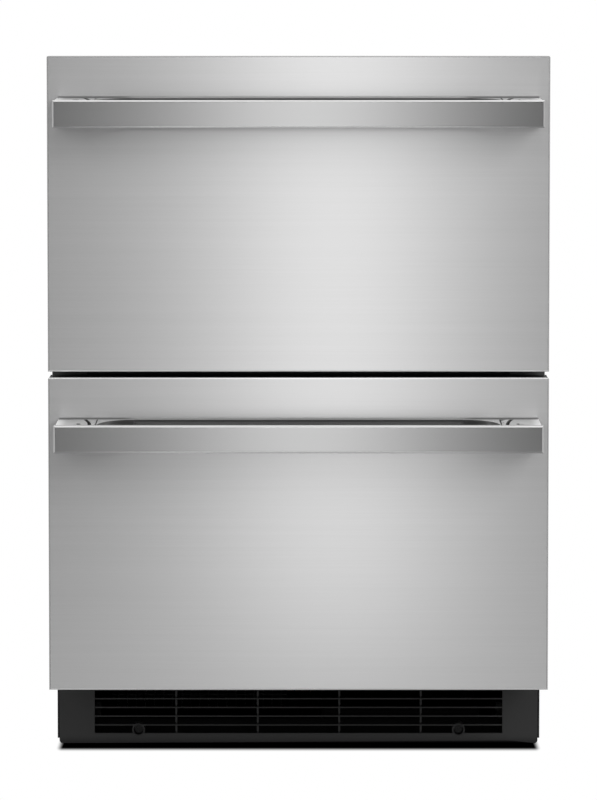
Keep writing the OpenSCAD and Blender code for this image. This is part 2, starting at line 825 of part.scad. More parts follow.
// Controls and lights
control_y = [y_face + 14, y_face + 14 + control_d];
control_z = [up_mouth[1] - control_h, up_mouth[1]];
button_z = (control_z[0] + control_z[1]) / 2;
control_wall = 2;

function button_x(i) = control_w / 2 - 18 - i * button_pitch;

module control_housing() {
    y_in = control_y[0] + control_wall;
    color("#262626") difference() {
        box(pm(control_w / 2), control_y, control_z);
        box(pm(control_w / 2 - control_wall), [y_in, control_y[1] - control_wall],
            [control_z[0] + control_wall, control_z[1] + 1]);
        for (i = [0:2]) rod_y(button_x(i), [control_y[0] - 1, y_in + 1], button_z, button_r + run_gap);
        box([-control_w / 2 + 12, -control_w / 2 + 92], [control_y[0] - 1, y_in + 1],
            [button_z - 7, button_z + 7]);
    }
}

module display_window() {
    color("#101418") box([-control_w / 2 + 12, -control_w / 2 + 92],
                         [control_y[0] + 0.4, control_y[0] + control_wall],
                         [button_z - 7, button_z + 7]);
}

module button(i) { // a cap with a flange behind the housing's wall, which leaves room for its stroke
    y_in = control_y[0] + control_wall;
    color("#c8c8c8") {
        rod_y(button_x(i), [control_y[0] - 0.4 - button_stroke, y_in + run_gap + 2], button_z, button_r);
        rod_y(button_x(i), [y_in + run_gap, y_in + run_gap + 2], button_z, button_r + 1.6);
    }
}

module led_strips() {
    color("ivory") {
        box(pm(light_l / 2), [control_y[1] + 4, control_y[1] + 18], [up_mouth[1] - 8, up_mouth[1]]);
        box(pm(light_l / 2), [y_face + 20, y_face + 34], [low_mouth[1] - 8, low_mouth[1]]);
    }
}

// Cooling unit behind the upper drawer
evap_y = [y_cover + 14, y_face + up_depth];
evap_z = [up_mouth[0] + 28, up_mouth[0] + 148];
evap_fan_z = up_mouth[0] + evap_fan_rise;
evap_motor_y = y_face + up_depth - 26;

module finned_coil(x, y, z, fins, rows, cols, tube_r) {
    for (i = [0:fins - 1]) {
        fx = x[0] + 8 + (x[1] - x[0] - 16) * i / (fins - 1);
        box([fx - 0.5, fx + 0.5], y, z);
    }
    for (r = [0:rows - 1], c = [0:cols - 1])
        rod_x(x, y[0] + (y[1] - y[0]) * (c + 0.5) / cols, z[0] + (z[1] - z[0]) * (r + 0.5) / rows,
              tube_r);
}

module evaporator_coil() {
    color("gainsboro") finned_coil(pm(evap_l / 2), [evap_y[0] + 6, evap_y[1]], evap_z, evap_fins, 3, 2, 4);
}

module evaporator_cover() {
    y = [y_cover, y_cover + 2];
    slots = [for (i = [-3:3]) i * 60];
    color("whitesmoke") difference() {
        box(pm(mouth_x), y, up_mouth);
        difference() {
            rod_y(0, [y[0] - 1, y[1] + 1], evap_fan_z, evap_fan_r + 4);
            rod_y(0, [y[0] - 2, y[1] + 2], evap_fan_z, 14);
            for (a = [0:45:135]) translate([0, y[0] + 1, evap_fan_z]) rotate([0, a, 0])
                cube([2 * evap_fan_r + 20, 6, 3], center = true);
        }
        for (s = slots) box([s - 20, s + 20], [y[0] - 1, y[1] + 1],
                            [up_mouth[0] + 12, up_mouth[0] + 20]);
    }
}

module evaporator_fan_motor() {
    color("#303030") {
        rod_y(0, [evap_motor_y, y_face + up_depth], evap_fan_z, 18);
        rod_y(0, [evap_motor_y - evap_shaft_l, evap_motor_y], evap_fan_z, fan_shaft_r);
        box(pm(44), [y_face + up_depth - 2, y_face + up_depth], [evap_fan_z - 9, evap_fan_z + 9]);
    }
}

module axial_fan(r, hub_r, blades, depth, bore_d) { // spins about Y, hub's back at y 0
    difference() {
        union() {
            rod_y(0, [-depth, 0], 0, hub_r);
            intersection() {
                difference() {
                    rod_y(0, [-depth, 0], 0, r);
                    rod_y(0, [-depth - 1, 1], 0, hub_r - 1);
                }
                for (i = [0:blades - 1]) rotate([0, i * 360 / blades, 0])
                    translate([r / 2, -depth / 2, 0]) rotate([32, 0, 0])
                        cube([r, 1.4, depth * 2.4], center = true);
            }
        }
        rod_y(0, [-bore_d, 1], 0, fan_shaft_r + shaft_gap);
    }
}

module evaporator_fan() {
    color("#f0f0f0") translate([0, evap_motor_y - run_gap, evap_fan_z])
        axial_fan(evap_fan_r, 12, 5, evap_shaft_l + 2, evap_shaft_l);
}

// Machine bay
gland_x = cab_x - gland_inset;
gland_z = 60;

module compressor() {
    z0 = z_pan + grommet_h;
    r = comp_r;
    h = comp_h;
    dome = 38;
    steps = 8;
    color("#1a1a1a") {
        translate([comp_x, comp_y, z0 + 2]) rotate_extrude() polygon(concat(
            [[0, 0], [r - 18, 0], [r - 6, 8], [r, 22], [r, h * 0.45], [r + 3, h * 0.45],
             [r + 3, h * 0.45 + 5], [r, h * 0.45 + 5]],
            [for (i = [0:steps - 1]) [r * cos(90 * i / steps), h - dome + dome * sin(90 * i / steps)]],
            [[0, h]]
        ));
        difference() {
            box([comp_x - r - 10, comp_x + r + 10], [comp_y - 50, comp_y + 50], [z0, z0 + 3]);
            each_grommet() cylinder(h = 20, r = 8, center = true);
        }
        box([comp_x - r - 14, comp_x - r + 16], [comp_y - 22, comp_y + 22], [z0 + 44, z0 + 84]);
        rod_y(port_x, [comp_y - r, comp_y - r / 2], port_z, 5.5);
        rod_z(comp_x, comp_y, [comp_top - 12, comp_top + port_l], 4.5);
    }
}

module each_grommet() {
    for (x = [-1, 1], y = [-1, 1])
        translate([comp_x + x * (comp_r - 4), comp_y + y * 38, z_pan + grommet_h]) children();
}

module compressor_grommets() {
    color("#2a2a2a") each_grommet() {
        translate([0, 0, -grommet_h]) cylinder(h = grommet_h, r = 11);
        cylinder(h = 3.2, r = 7.8);
    }
}

module condenser_coil() {
    x = [-cond_fan_x - cond_l / 2, -cond_fan_x + cond_l / 2];
    y = [y_bay - 26 - cond_d, y_bay - 26];
    color("#404040") finned_coil(x, y, [z_pan, z_roof - 10], cond_fins, 3, 2, 4);
}

module fan_shroud() {
    x = [-cond_fan_x - shroud_half, -cond_fan_x + shroud_half];
    y = [cond_fan_y - shroud_set, cond_fan_y - shroud_set + shroud_t];
    z = [z_pan, cond_fan_z + shroud_half];
    color("#383838") difference() {
        union() {
            box(x, y, z);
            box(x, [y[0], cond_fan_y + 26], [z_pan, z_pan + 2]);
            rod_y(-cond_fan_x, [y[0], y[1] + 10], cond_fan_z, cond_fan_r + 5);
        }
        rod_y(-cond_fan_x, [y[0] - 1, y[1] + 11], cond_fan_z, cond_fan_r + 2);
    }
}

module condenser_fan_motor() {
    y = [cond_fan_y, cond_fan_y + motor_d];
    color("#303030") {
        rod_y(-cond_fan_x, y, cond_fan_z, 22);
        rod_y(-cond_fan_x, [y[0] - cond_shaft_l, y[0]], cond_fan_z, fan_shaft_r);
        box([-cond_fan_x - 16, -cond_fan_x + 16], [y[0] + 4, y[0] + 22], [z_pan + 2, cond_fan_z]);
    }
}

module condenser_fan() {
    color("#202020") translate([-cond_fan_x, cond_fan_y - run_gap, cond_fan_z])
        axial_fan(cond_fan_r, 15, 5, cond_shaft_l + 4, cond_shaft_l);
}

module drain_pan() {
    x = [30, cab_x - leg_inset - foot_r - 8];
    y = [y_toe + 24, y_bay - 20];
    color("#505050") difference() {
        box(x, y, [z_pan, z_pan + 30]);
        box([x[0] + 2, x[1] - 2], [y[0] + 2, y[1] - 2], [z_pan + 2, z_pan + 31]);
    }
}

module pipe(points, r) {
    for (i = [0:len(points) - 2]) {
        d = points[i + 1] - points[i];
        translate(points[i]) rotate([0, acos(d[2] / norm(d)), atan2(d[1], d[0])])
            cylinder(h = norm(d), r = r);
    }
    for (i = [1:len(points) - 2]) translate(points[i]) sphere(r * 1.2);
}

module refrigerant_lines() {
    y_line = y_bay + 10;
    z_hot = min(comp_top + 22, bay_h - 12);
    coil_end = cond_l / 2 - cond_fan_x;
    y_coil = y_bay - 26 - cond_d * 0.25;
    z_in = z_pan + (z_roof - 10 - z_pan) * 5 / 6;
    z_out = z_pan + (z_roof - 10 - z_pan) / 6;
    x_hot = coil_end + 14;
    x_liquid = coil_end + 32;
    color("#b87333") {
        pipe([[comp_x, comp_y, comp_top + port_l], [comp_x, comp_y, z_hot], [x_hot, comp_y, z_hot],
              [x_hot, comp_y, z_in], [x_hot, y_coil, z_in], [coil_end, y_coil, z_in]], 3);
        pipe([[coil_end, y_coil, z_out], [x_liquid, y_coil, z_out],
              [x_liquid, y_line, z_out], [x_liquid, y_line, bay_h]], 2.5);
        rod_z(x_liquid, y_line, [z_pan + 80, z_pan + 150], 9);
        pipe([[port_x, y_line, bay_h], [port_x, y_line, port_z], [port_x, comp_y - comp_r, port_z]], 4);
    }
}

module electrical_box() {
    x = [-cond_fan_x + shroud_half + 26, comp_x - comp_r - 38];
    y = [y_rear - sheet_t - 66, y_rear - sheet_t - 8];
    color("#c9c9c9") difference() {
        box(x, y, [z_pan, z_pan + 96]);
        box([x[0] + 2, x[1] - 2], [y[0] + 2, y[1] + 1], [z_pan + 2, z_pan + 94]);
    }
}

module cord_gland() {
    y = [y_rear - sheet_t - 8, y_rear + 3];
    color("#181818") difference() {
        union() {
            rod_y(-gland_x, [y_rear, y[1]], gland_z, 12);
            rod_y(-gland_x, [y[0], y[1]], gland_z, 8.8);
            rod_y(-gland_x, [y[0], y_rear - sheet_t], gland_z, 12);
        }
        rod_y(-gland_x, [y[0] - 1, y[1] + 1], gland_z, gland_bore_r);
    }
}

cabinet_wrapper();
rear_panel();
bay_roof();
base_pan();
insulation_foam();
upper_liner();
lower_liner();
centre_mullion();
toe_grille();
grille_screws();
rivet_nuts();
cord_gland();
control_housing();
display_window();
led_strips();
outer_slides();
evaporator_coil();
evaporator_cover();
evaporator_fan_motor();
compressor();
compressor_grommets();
condenser_coil();
fan_shroud();
condenser_fan_motor();
drain_pan();
refrigerant_lines();
electrical_box();
evaporator_fan();
condenser_fan();
leg(-leg_x, leg_front_y);  // leg_front_left
leg(leg_x, leg_front_y);  // leg_front_right
leg(-leg_x, leg_rear_y);  // leg_rear_left
leg(leg_x, leg_rear_y);  // leg_rear_right
button(2);  // button_colder
button(1);  // button_warmer
button(0);  // button_light
door_skin(z_up);  // upper_door_skin
door_inner(z_up, up_mouth);  // upper_door_inner
gasket(up_mouth);  // upper_gasket
handle_bar(z_up);  // upper_handle_bar
handle_base(z_up);  // upper_handle_base
handle_grip(z_up);  // upper_handle_grip
handle_screws(z_up);  // upper_handle_screws
upper_bin();
side_runners(up_mouth, up_slide_l);  // upper_side_runners
mid_slides(up_mouth, up_slide_l);  // upper_mid_slides
upper_divider();
door_foam(z_up, up_mouth);  // upper_door_foam
door_skin(z_low);  // lower_door_skin
door_inner(z_low, low_mouth);  // lower_door_inner
gasket(low_mouth);  // lower_gasket
handle_bar(z_low);  // lower_handle_bar
handle_base(z_low);  // lower_handle_base
handle_grip(z_low);  // lower_handle_grip
handle_screws(z_low);  // lower_handle_screws
lower_bin();
side_runners(low_mouth, low_slide_l);  // lower_side_runners
mid_slides(low_mouth, low_slide_l);  // lower_mid_slides
lower_tray();
door_foam(z_low, low_mouth);  // lower_door_foam
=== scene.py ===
import json
import math

import bmesh
import bpy
from mathutils import Matrix, Vector


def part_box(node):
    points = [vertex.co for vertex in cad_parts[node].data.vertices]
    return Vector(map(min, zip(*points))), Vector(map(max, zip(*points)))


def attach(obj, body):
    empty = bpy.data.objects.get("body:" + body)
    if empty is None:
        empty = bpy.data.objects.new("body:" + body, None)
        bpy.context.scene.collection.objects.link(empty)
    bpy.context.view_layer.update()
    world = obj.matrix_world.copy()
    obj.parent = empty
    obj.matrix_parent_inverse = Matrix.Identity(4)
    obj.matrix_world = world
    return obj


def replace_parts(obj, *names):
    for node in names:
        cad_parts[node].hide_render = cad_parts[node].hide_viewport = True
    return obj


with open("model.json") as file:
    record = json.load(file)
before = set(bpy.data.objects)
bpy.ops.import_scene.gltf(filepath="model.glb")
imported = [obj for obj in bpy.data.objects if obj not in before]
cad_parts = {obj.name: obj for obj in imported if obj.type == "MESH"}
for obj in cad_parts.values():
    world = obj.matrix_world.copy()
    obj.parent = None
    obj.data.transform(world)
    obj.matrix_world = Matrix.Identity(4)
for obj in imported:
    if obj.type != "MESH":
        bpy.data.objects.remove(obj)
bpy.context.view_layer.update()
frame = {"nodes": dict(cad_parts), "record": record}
nodes = frame["nodes"]
record = frame["record"]
mm = 0.001
weld = 2e-6  # corners closer than this, in metres, are one corner
flatWithin = 0.3  # faces that differ by fewer degrees are one face
upright = Matrix.Identity(3)
forwards, backwards = (Matrix.Rotation(math.radians(a), 3, "X") for a in (90, -90))
bodyOf = {node: body for body, members in record["behaviour"]["bodies"].items()
          for node in members}
scene = bpy.context.scene
scene.view_settings.view_transform = "Standard"


def addObject(name, data):
    item = bpy.data.objects.new(name, data)
    scene.collection.objects.link(item)
    return item


def meshObject(name, shape):  # uses up a bmesh shape
    mesh = bpy.data.meshes.new(name)
    shape.to_mesh(mesh)
    shape.free()
    return addObject(name, mesh)


def wire(tree, kind, options=None, values=None):  # adds a node, sets it and links what is a socket
    node = tree.nodes.new(kind)
    for key, value in (options or {}).items():
        setattr(node, key, value)
    for key, value in (values or {}).items():
        if isinstance(value, bpy.types.NodeSocket):
            tree.links.new(value, node.inputs[key])
        else:
            node.inputs[key].default_value = value
    return node


def maths(tree, operation, *values):
    node = wire(tree, "ShaderNodeMath", {"operation": operation}, dict(enumerate(values)))
    return node.outputs[0]


def vectorMaths(tree, operation, *values):
    node = wire(tree, "ShaderNodeVectorMath", {"operation": operation}, dict(enumerate(values)))
    return node.outputs["Value" if operation == "LENGTH" else "Vector"]


def ranged(tree, value, low, high, toLow=0, toHigh=1, curve="SMOOTHSTEP"):
    return wire(tree, "ShaderNodeMapRange", {"interpolation_type": curve},
                {"Value": value, "From Min": low, "From Max": high,
                 "To Min": toLow, "To Max": toHigh}).outputs[0]


def mixed(tree, share, first, second, kind="FLOAT"):  # first at a share of 0, second at 1
    low, high, result = (2, 3, 0) if kind == "FLOAT" else (6, 7, 2)
    return wire(tree, "ShaderNodeMix", {"data_type": kind},
                {0: share, low: first, high: second}).outputs[result]


def split(tree, vector):
    return wire(tree, "ShaderNodeSeparateXYZ", {}, {0: vector}).outputs


def objectPlace(tree):
    return wire(tree, "ShaderNodeTexCoord").outputs["Object"]


def blankMaterial(name):
    material = bpy.data.materials.new(name)
    material.use_nodes = True
    material.node_tree.nodes.clear()
    return material, material.node_tree


print("camera and studio")
viewpoint = {"place": (0, -4.2675, 0.8169), "tilt": 3.388, "lens": 149.15, "sensor": 36,
             "shiftY": -0.14, "farEnd": 60}
studio = {
    "fill": 0.53,  # what matt surfaces receive from all round
    "roomLevel": 0.05,  # what metal mirrors beside the glow
    "panel": {"mid": 0.7, "width": 1.2, "peak": 2.08},  # tall light behind the camera, in degrees
    "panelFade": (-0.45, 0.05), "footShare": 0.61,  # it grows weaker towards the floor
    "halo": {"mid": -2.0, "width": 2.0, "peak": 0.28},  # softer glow on its left
    "shoulder": {"mid": 3.4, "width": 1.1, "peak": 0.16},  # and on its right
    "sideSpan": (14, 78), "sideLevel": 0.85,  # the room grows lighter towards the sides
    "topSpan": (0.72, 0.93), "topLevel": 1.1,  # and overhead
    "lamps": {"right": {"place": (2.3, -1.95, 2.0), "size": 1.9, "power": 88},
              "left": {"place": (-2.3, -1.95, 2.0), "size": 1.9, "power": 32},
              "rear": {"place": (-2.6, 2.4, 2.8), "size": 2.2, "power": 90}},
    "lampAim": (0, 0, 0.4),
}


def buildCamera():
    camera = addObject("camera", bpy.data.cameras.new("camera"))
    camera.location = viewpoint["place"]
    camera.rotation_euler = (math.radians(90 - viewpoint["tilt"]), 0, 0)
    camera.data.sensor_width = viewpoint["sensor"]
    camera.data.lens = viewpoint["lens"]
    camera.data.shift_y = viewpoint["shiftY"]
    camera.data.clip_end = viewpoint["farEnd"]
    scene.camera = camera


def seenRays(tree):  # the rays that show a background: the camera's, and mirrored or bent ones
    path = wire(tree, "ShaderNodeLightPath").outputs
    mirrored = maths(tree, "MAXIMUM", path["Is Glossy Ray"], path["Is Transmission Ray"])
    return path["Is Camera Ray"], mirrored


def bellCurve(tree, angle, glow):
    away = maths(tree, "SUBTRACT", angle, math.radians(glow["mid"]))
    away = maths(tree, "DIVIDE", away, math.radians(glow["width"]))
    square = maths(tree, "MULTIPLY", away, away)
    fall = maths(tree, "EXPONENT", maths(tree, "MULTIPLY", square, -0.5))
    return maths(tree, "MULTIPLY", fall, glow["peak"])


def buildWorld():
    world = bpy.data.worlds.new("studio")
    scene.world = world
    world.use_nodes = True
    tree = world.node_tree
    tree.nodes.clear()
    way = split(tree, wire(tree, "ShaderNodeTexCoord").outputs["Generated"])
    angle = maths(tree, "ARCTAN2", way[0], maths(tree, "MULTIPLY", way[1], -1))
    fade = ranged(tree, way[2], *studio["panelFade"], studio["footShare"], 1, "LINEAR")
    ring = maths(tree, "MULTIPLY", bellCurve(tree, angle, studio["panel"]), fade)
    for part in ("halo", "shoulder"):
        ring = maths(tree, "ADD", ring, bellCurve(tree, angle, studio[part]))
    sideFrom, sideTo = (math.radians(v) for v in studio["sideSpan"])
    sides = ranged(tree, maths(tree, "ABSOLUTE", angle), sideFrom, sideTo,
                   studio["roomLevel"], studio["sideLevel"])
    ring = maths(tree, "ADD", ring, sides)
    mirrored = mixed(tree, ranged(tree, way[2], *studio["topSpan"]), ring, studio["topLevel"])
    isCamera, isMirrored = seenRays(tree)
    level = mixed(tree, isMirrored, studio["fill"], mirrored)
    level = mixed(tree, isCamera, level, 1.0)
    light = wire(tree, "ShaderNodeBackground", {}, {"Color": (1, 1, 1, 1), "Strength": level})
    wire(tree, "ShaderNodeOutputWorld", {}, {"Surface": light.outputs[0]})


def buildLamps():
    for name, look in studio["lamps"].items():
        lamp = addObject(name + "Lamp", bpy.data.lights.new(name + "Lamp", "AREA"))
        lamp.data.shape = "SQUARE"
        lamp.data.size = look["size"]
        lamp.data.energy = look["power"]
        lamp.location = look["place"]
        aim = Vector(studio["lampAim"]) - lamp.location
        lamp.rotation_euler = aim.to_track_quat("-Z", "Y").to_euler()
        lamp.visible_glossy = False
        lamp.visible_camera = False


floorPlan = {
    "half": 1.2, "drop": 0.0002, "paint": (0.3, 0.3, 0.3, 1), "mirrorLevel": 0.44,
    "shadowReach": 0.012, "shadowSpan": (0.25, 0.65), "shadowRays": 8,
    "footHalf": (0.2937, 0.246, 1), "footMiddle": (0, 0.075, 0),  # where the base stands
    "footBlur": (0.0016, 0.027), "footSharper": (2.9, 1, 1),  # and how soft its shadow ends
}


def footShadow(tree):  # 0 under the base, 1 clear of it
    away = vectorMaths(tree, "SUBTRACT", objectPlace(tree), floorPlan["footMiddle"])
    away = vectorMaths(tree, "ABSOLUTE", away)
    past = vectorMaths(tree, "SUBTRACT", away, floorPlan["footHalf"])
    past = vectorMaths(tree, "MAXIMUM", past, (0, 0, 0))
    past = vectorMaths(tree, "MULTIPLY", past, floorPlan["footSharper"])
    return ranged(tree, vectorMaths(tree, "LENGTH", past), *floorPlan["footBlur"])


def buildFloor():
    half, low = floorPlan["half"], -floorPlan["drop"]
    outline = ((-half, -half), (half, -half), (half, half), (-half, half))
    shape = bmesh.new()
    shape.faces.new([shape.verts.new((x, y, low)) for x, y in outline])
    floor = meshObject("floor", shape)
    material, tree = blankMaterial("floorPaper")
    near = wire(tree, "ShaderNodeAmbientOcclusion", {"samples": floorPlan["shadowRays"]},
                {"Distance": floorPlan["shadowReach"]})
    shadow = ranged(tree, near.outputs["AO"], *floorPlan["shadowSpan"])
    shadow = maths(tree, "MULTIPLY", shadow, footShadow(tree))
    isCamera, isMirrored = seenRays(tree)
    strength = maths(tree, "MULTIPLY", shadow,
                     mixed(tree, isCamera, floorPlan["mirrorLevel"], 1.0))
    glow = wire(tree, "ShaderNodeEmission", {}, {"Color": (1, 1, 1, 1), "Strength": strength})
    paint = wire(tree, "ShaderNodeBsdfDiffuse", {}, {"Color": floorPlan["paint"]})
    seen = maths(tree, "MAXIMUM", isCamera, isMirrored)
    upper = wire(tree, "ShaderNodeMixShader", {},
                 {0: seen, 1: paint.outputs[0], 2: glow.outputs[0]})
    clear = wire(tree, "ShaderNodeBsdfTransparent")
    under = wire(tree, "ShaderNodeNewGeometry").outputs["Backfacing"]
    both = wire(tree, "ShaderNodeMixShader", {},
                {0: under, 1: upper.outputs[0], 2: clear.outputs[0]})
    wire(tree, "ShaderNodeOutputMaterial", {}, {"Surface": both.outputs[0]})
    floor.data.materials.append(material)


buildCamera()
buildWorld()
buildLamps()
buildFloor()

print("surface effects")
effects = {}
sideTurn = 0.7  # a face that looks sideways by more than this is an end face
wornSpan = (0.35, 0.7)  # where rubbed patches begin and where they are full
toneSpan = (0.2, 0.8)  # the part of a pattern over which its roughness changes


def effect(name, inputs, build):  # a shared node group that puts out a tone and a height
    tree = bpy.data.node_groups.new(name, "ShaderNodeTree")
    for label, value in inputs.items():
        socket = tree.interface.new_socket(label, in_out="INPUT", socket_type="NodeSocketFloat")
        socket.default_value = value
    for label in ("Tone", "Height"):
        tree.interface.new_socket(label, in_out="OUTPUT", socket_type="NodeSocketFloat")
    ins = tree.nodes.new("NodeGroupInput").outputs
    outs = tree.nodes.new("NodeGroupOutput").inputs
    for socket, label in zip(build(tree, ins, objectPlace(tree)), ("Tone", "Height")):
        tree.links.new(socket, outs[label])
    effects[name] = tree


def noise(tree, place, scale, detail=2.0, roughness=0.55):
    return wire(tree, "ShaderNodeTexNoise", {},
                {"Vector": place, "Scale": scale, "Detail": detail,
                 "Roughness": roughness}).outputs[0]


def blended(tree, first, second, share):  # second takes that share, first the rest
    return maths(tree, "ADD", maths(tree, "MULTIPLY", first, 1 - share),
                 maths(tree, "MULTIPLY", second, share))


def facing(tree):  # how far a surface looks sideways, up and forward
    normal = split(tree, wire(tree, "ShaderNodeTexCoord").outputs["Normal"])
    return {"sideways": maths(tree, "ABSOLUTE", normal[0]), "up": normal[2],
            "forward": maths(tree, "MULTIPLY", normal[1], -1)}


def brushGrain(tree, ins, place):  # long scratches along the width, turned round on the end faces
    endFace = maths(tree, "GREATER_THAN", facing(tree)["sideways"], sideTurn)
    alongX = mixed(tree, endFace, ins["Along"], ins["Across"])
    alongY = mixed(tree, endFace, ins["Across"], ins["Along"])
    stretch = wire(tree, "ShaderNodeCombineXYZ", {}, {0: alongX, 1: alongY, 2: ins["Across"]})
    grain = vectorMaths(tree, "MULTIPLY", place, stretch.outputs[0])
    fine = noise(tree, grain, 1.0, 3.0, 0.65)
    broad = noise(tree, grain, 0.14, 1.0)
    return blended(tree, fine, broad, 0.35), fine


def pebble(tree, ins, place):  # fine texture of moulded plastic, with slow changes of tone
    cells = wire(tree, "ShaderNodeTexVoronoi", {"feature": "SMOOTH_F1"},
                 {"Vector": place, "Scale": ins["Size"]})
    slow = noise(tree, place, ins["Drift"], 2.0)
    fine = noise(tree, place, ins["Size"], 2.0)
    return blended(tree, fine, slow, 0.6), blended(tree, cells.outputs["Distance"], fine, 0.4)


def orangePeel(tree, ins, place):  # soft waves of sprayed or moulded gloss
    waves = noise(tree, place, ins["Size"], 1.0)
    slow = noise(tree, place, ins["Drift"], 3.0)
    return blended(tree, waves, slow, 0.7), waves


def spangle(tree, ins, place):  # crystals of zinc coating
    crystals = wire(tree, "ShaderNodeTexVoronoi", {}, {"Vector": place, "Scale": ins["Size"]})
    flake = wire(tree, "ShaderNodeSeparateColor", {}, {0: crystals.outputs["Color"]}).outputs[0]
    slow = noise(tree, place, ins["Drift"], 3.0)
    return blended(tree, flake, slow, 0.45), flake


def rubbed(tree, ins, place):  # dull patches where hands and cloths wear a surface
    patches = ranged(tree, noise(tree, place, ins["Drift"], 4.0, 0.6), *wornSpan)
    fine = noise(tree, place, ins["Size"], 3.0, 0.7)
    return blended(tree, patches, fine, 0.4), fine


def sized(size, drift):  # scale of a pattern and of its slow changes
    return {"Size": size, "Drift": drift}


effect("brushGrain", {"Along": 6.0, "Across": 900.0}, brushGrain)
effect("pebble", sized(700.0, 6.0), pebble)
effect("orangePeel", sized(260.0, 5.0), orangePeel)
effect("spangle", sized(130.0, 9.0), spangle)
effect("rubbed", sized(500.0, 22.0), rubbed)

spans = {  # where each part of painted shade and highlight begins and where it is full
    "upperFront": 0.6,  # pieces above this height, in metres, belong to the upper front
    "bendStart": (0.10, 0.35), "bendEnd": (0.90, 0.99), "crown": (0.35, 0.85), "front": (0.3, 0.8),
    "foot": (0.0165, 0.005), "under": (0.290, 0.120), "end": (0.190, 0.215), "tip": (0.277, 0.292),
}


def isHigh(tree):  # 1 on the upper front, 0 on the lower one
    return maths(tree, "GREATER_THAN", split(tree, objectPlace(tree))[2], spans["upperFront"])


def bend(tree, turn):  # the rounded part between two flat faces
    begins = ranged(tree, turn, *spans["bendStart"])
    ends = ranged(tree, turn, *spans["bendEnd"], 1, 0)
    return maths(tree, "MULTIPLY", begins, ends)


def fromMiddle(tree, near, far):  # grows along the width, away from the middle
    return ranged(tree, maths(tree, "ABSOLUTE", split(tree, objectPlace(tree))[0]), near, far)


def bendShadeMask(tree):  # painted shade on the rounded edges at the sides, and along the top of the upper front
    ways = facing(tree)
    topEdge = maths(tree, "MULTIPLY", ways["up"], isHigh(tree))
    return bend(tree, maths(tree, "MAXIMUM", ways["sideways"], topEdge))


def lipHighlightMask(tree):  # painted highlight on the rounded edges along the gap and along the foot
    ways = facing(tree)
    lower = maths(tree, "MULTIPLY", ways["up"], maths(tree, "SUBTRACT", 1, isHigh(tree)))
    return bend(tree, maths(tree, "MAXIMUM", lower, maths(tree, "MULTIPLY", ways["up"], -1)))


def underHighlightMask(tree):  # painted highlight on the sloping edges along the underside, less towards their ends
    slope = bend(tree, maths(tree, "MULTIPLY", facing(tree)["up"], -1))
    return maths(tree, "MULTIPLY", slope, fromMiddle(tree, *spans["under"]))


def crownLightMask(tree):  # upper faces, which the finishes paint as lit from above
    return ranged(tree, facing(tree)["up"], *spans["crown"])


def frontShadeMask(tree):  # painted shade on faces that look forward
    return ranged(tree, facing(tree)["forward"], *spans["front"])


def footShadeMask(tree):  # painted shade on the lowest part, above the floor
    return ranged(tree, split(tree, objectPlace(tree))[2], *spans["foot"])


def endShadeMask(tree):  # beside the handles' linings, where the strip of painted shade is darker still
    return fromMiddle(tree, *spans["end"])


def tipHighlightMask(tree):  # painted highlight on the upper faces at the handles' very ends
    return maths(tree, "MULTIPLY", fromMiddle(tree, *spans["tip"]), crownLightMask(tree))


# each mark paints light or shade into a finish's colour: shade on bends, fronts, the foot and the
# strip's ends; highlights on lips, undersides and tips; upper faces as lit from above
paintedParts = {"bend": bendShadeMask, "lip": lipHighlightMask, "under": underHighlightMask, "crown": crownLightMask,
                "front": frontShadeMask, "foot": footShadeMask, "end": endShadeMask, "tip": tipHighlightMask}
masks = {}
for part, build in paintedParts.items():  # shared node groups that put out a share from 0 to 1
    group = bpy.data.node_groups.new(part + "Mask", "ShaderNodeTree")
    group.interface.new_socket("Mask", in_out="OUTPUT", socket_type="NodeSocketFloat")
    group.links.new(build(group), group.nodes.new("NodeGroupOutput").inputs["Mask"])
    masks[part] = group


def masked(tree, part, plain, special, kind="FLOAT"):
    share = wire(tree, "ShaderNodeGroup", {"node_tree": masks[part]}).outputs["Mask"]
    return mixed(tree, share, plain, special, kind)


def finish(name, look):
    material, tree = blankMaterial(name)
    kind, values = look["effect"]
    pattern = wire(tree, "ShaderNodeGroup", {"node_tree": effects[kind]}, values).outputs
    dark, light = look["tones"]
    colour = mixed(tree, pattern["Tone"], (*dark, 1), (*light, 1), "RGBA")
    # painted light and shade: each mark's tone takes over the colour where its mask reaches
    for part in paintedParts:
        if part + "Tone" in look:
            tone = look[part + "Tone"]
            colour = masked(tree, part, colour, (tone, tone, tone, 1), "RGBA")
    rough = ranged(tree, pattern["Tone"], *toneSpan, *look["rough"], "LINEAR")
    relief = wire(tree, "ShaderNodeBump", {},
                  {"Strength": look["relief"], "Distance": look["depth"] * mm,
                   "Height": pattern["Height"]}).outputs[0]
    if "lean" in look:  # a face that stands a little askew
        relief = vectorMaths(tree, "ADD", relief, look["lean"])
    shader = wire(tree, "ShaderNodeBsdfPrincipled", {},
                  {"Base Color": colour, "Roughness": rough, "Normal": relief,
                   **look.get("plain", {})})
    # part of the painted top light: upper faces get less metal, so they look lit from above
    if "crownMetal" in look:
        metal = masked(tree, "crown", look["plain"]["Metallic"], look["crownMetal"])
        tree.links.new(metal, shader.inputs["Metallic"])
    if "lay" in look:  # the direction in which a brushed face spreads its reflections
        lay = wire(tree, "ShaderNodeCombineXYZ", {}, dict(enumerate(look["lay"]))).outputs[0]
        tree.links.new(lay, shader.inputs["Tangent"])
    wire(tree, "ShaderNodeOutputMaterial", {}, {"Surface": shader.outputs[0]})
    return material


def grey(low, high):
    return (low,) * 3, (high,) * 3


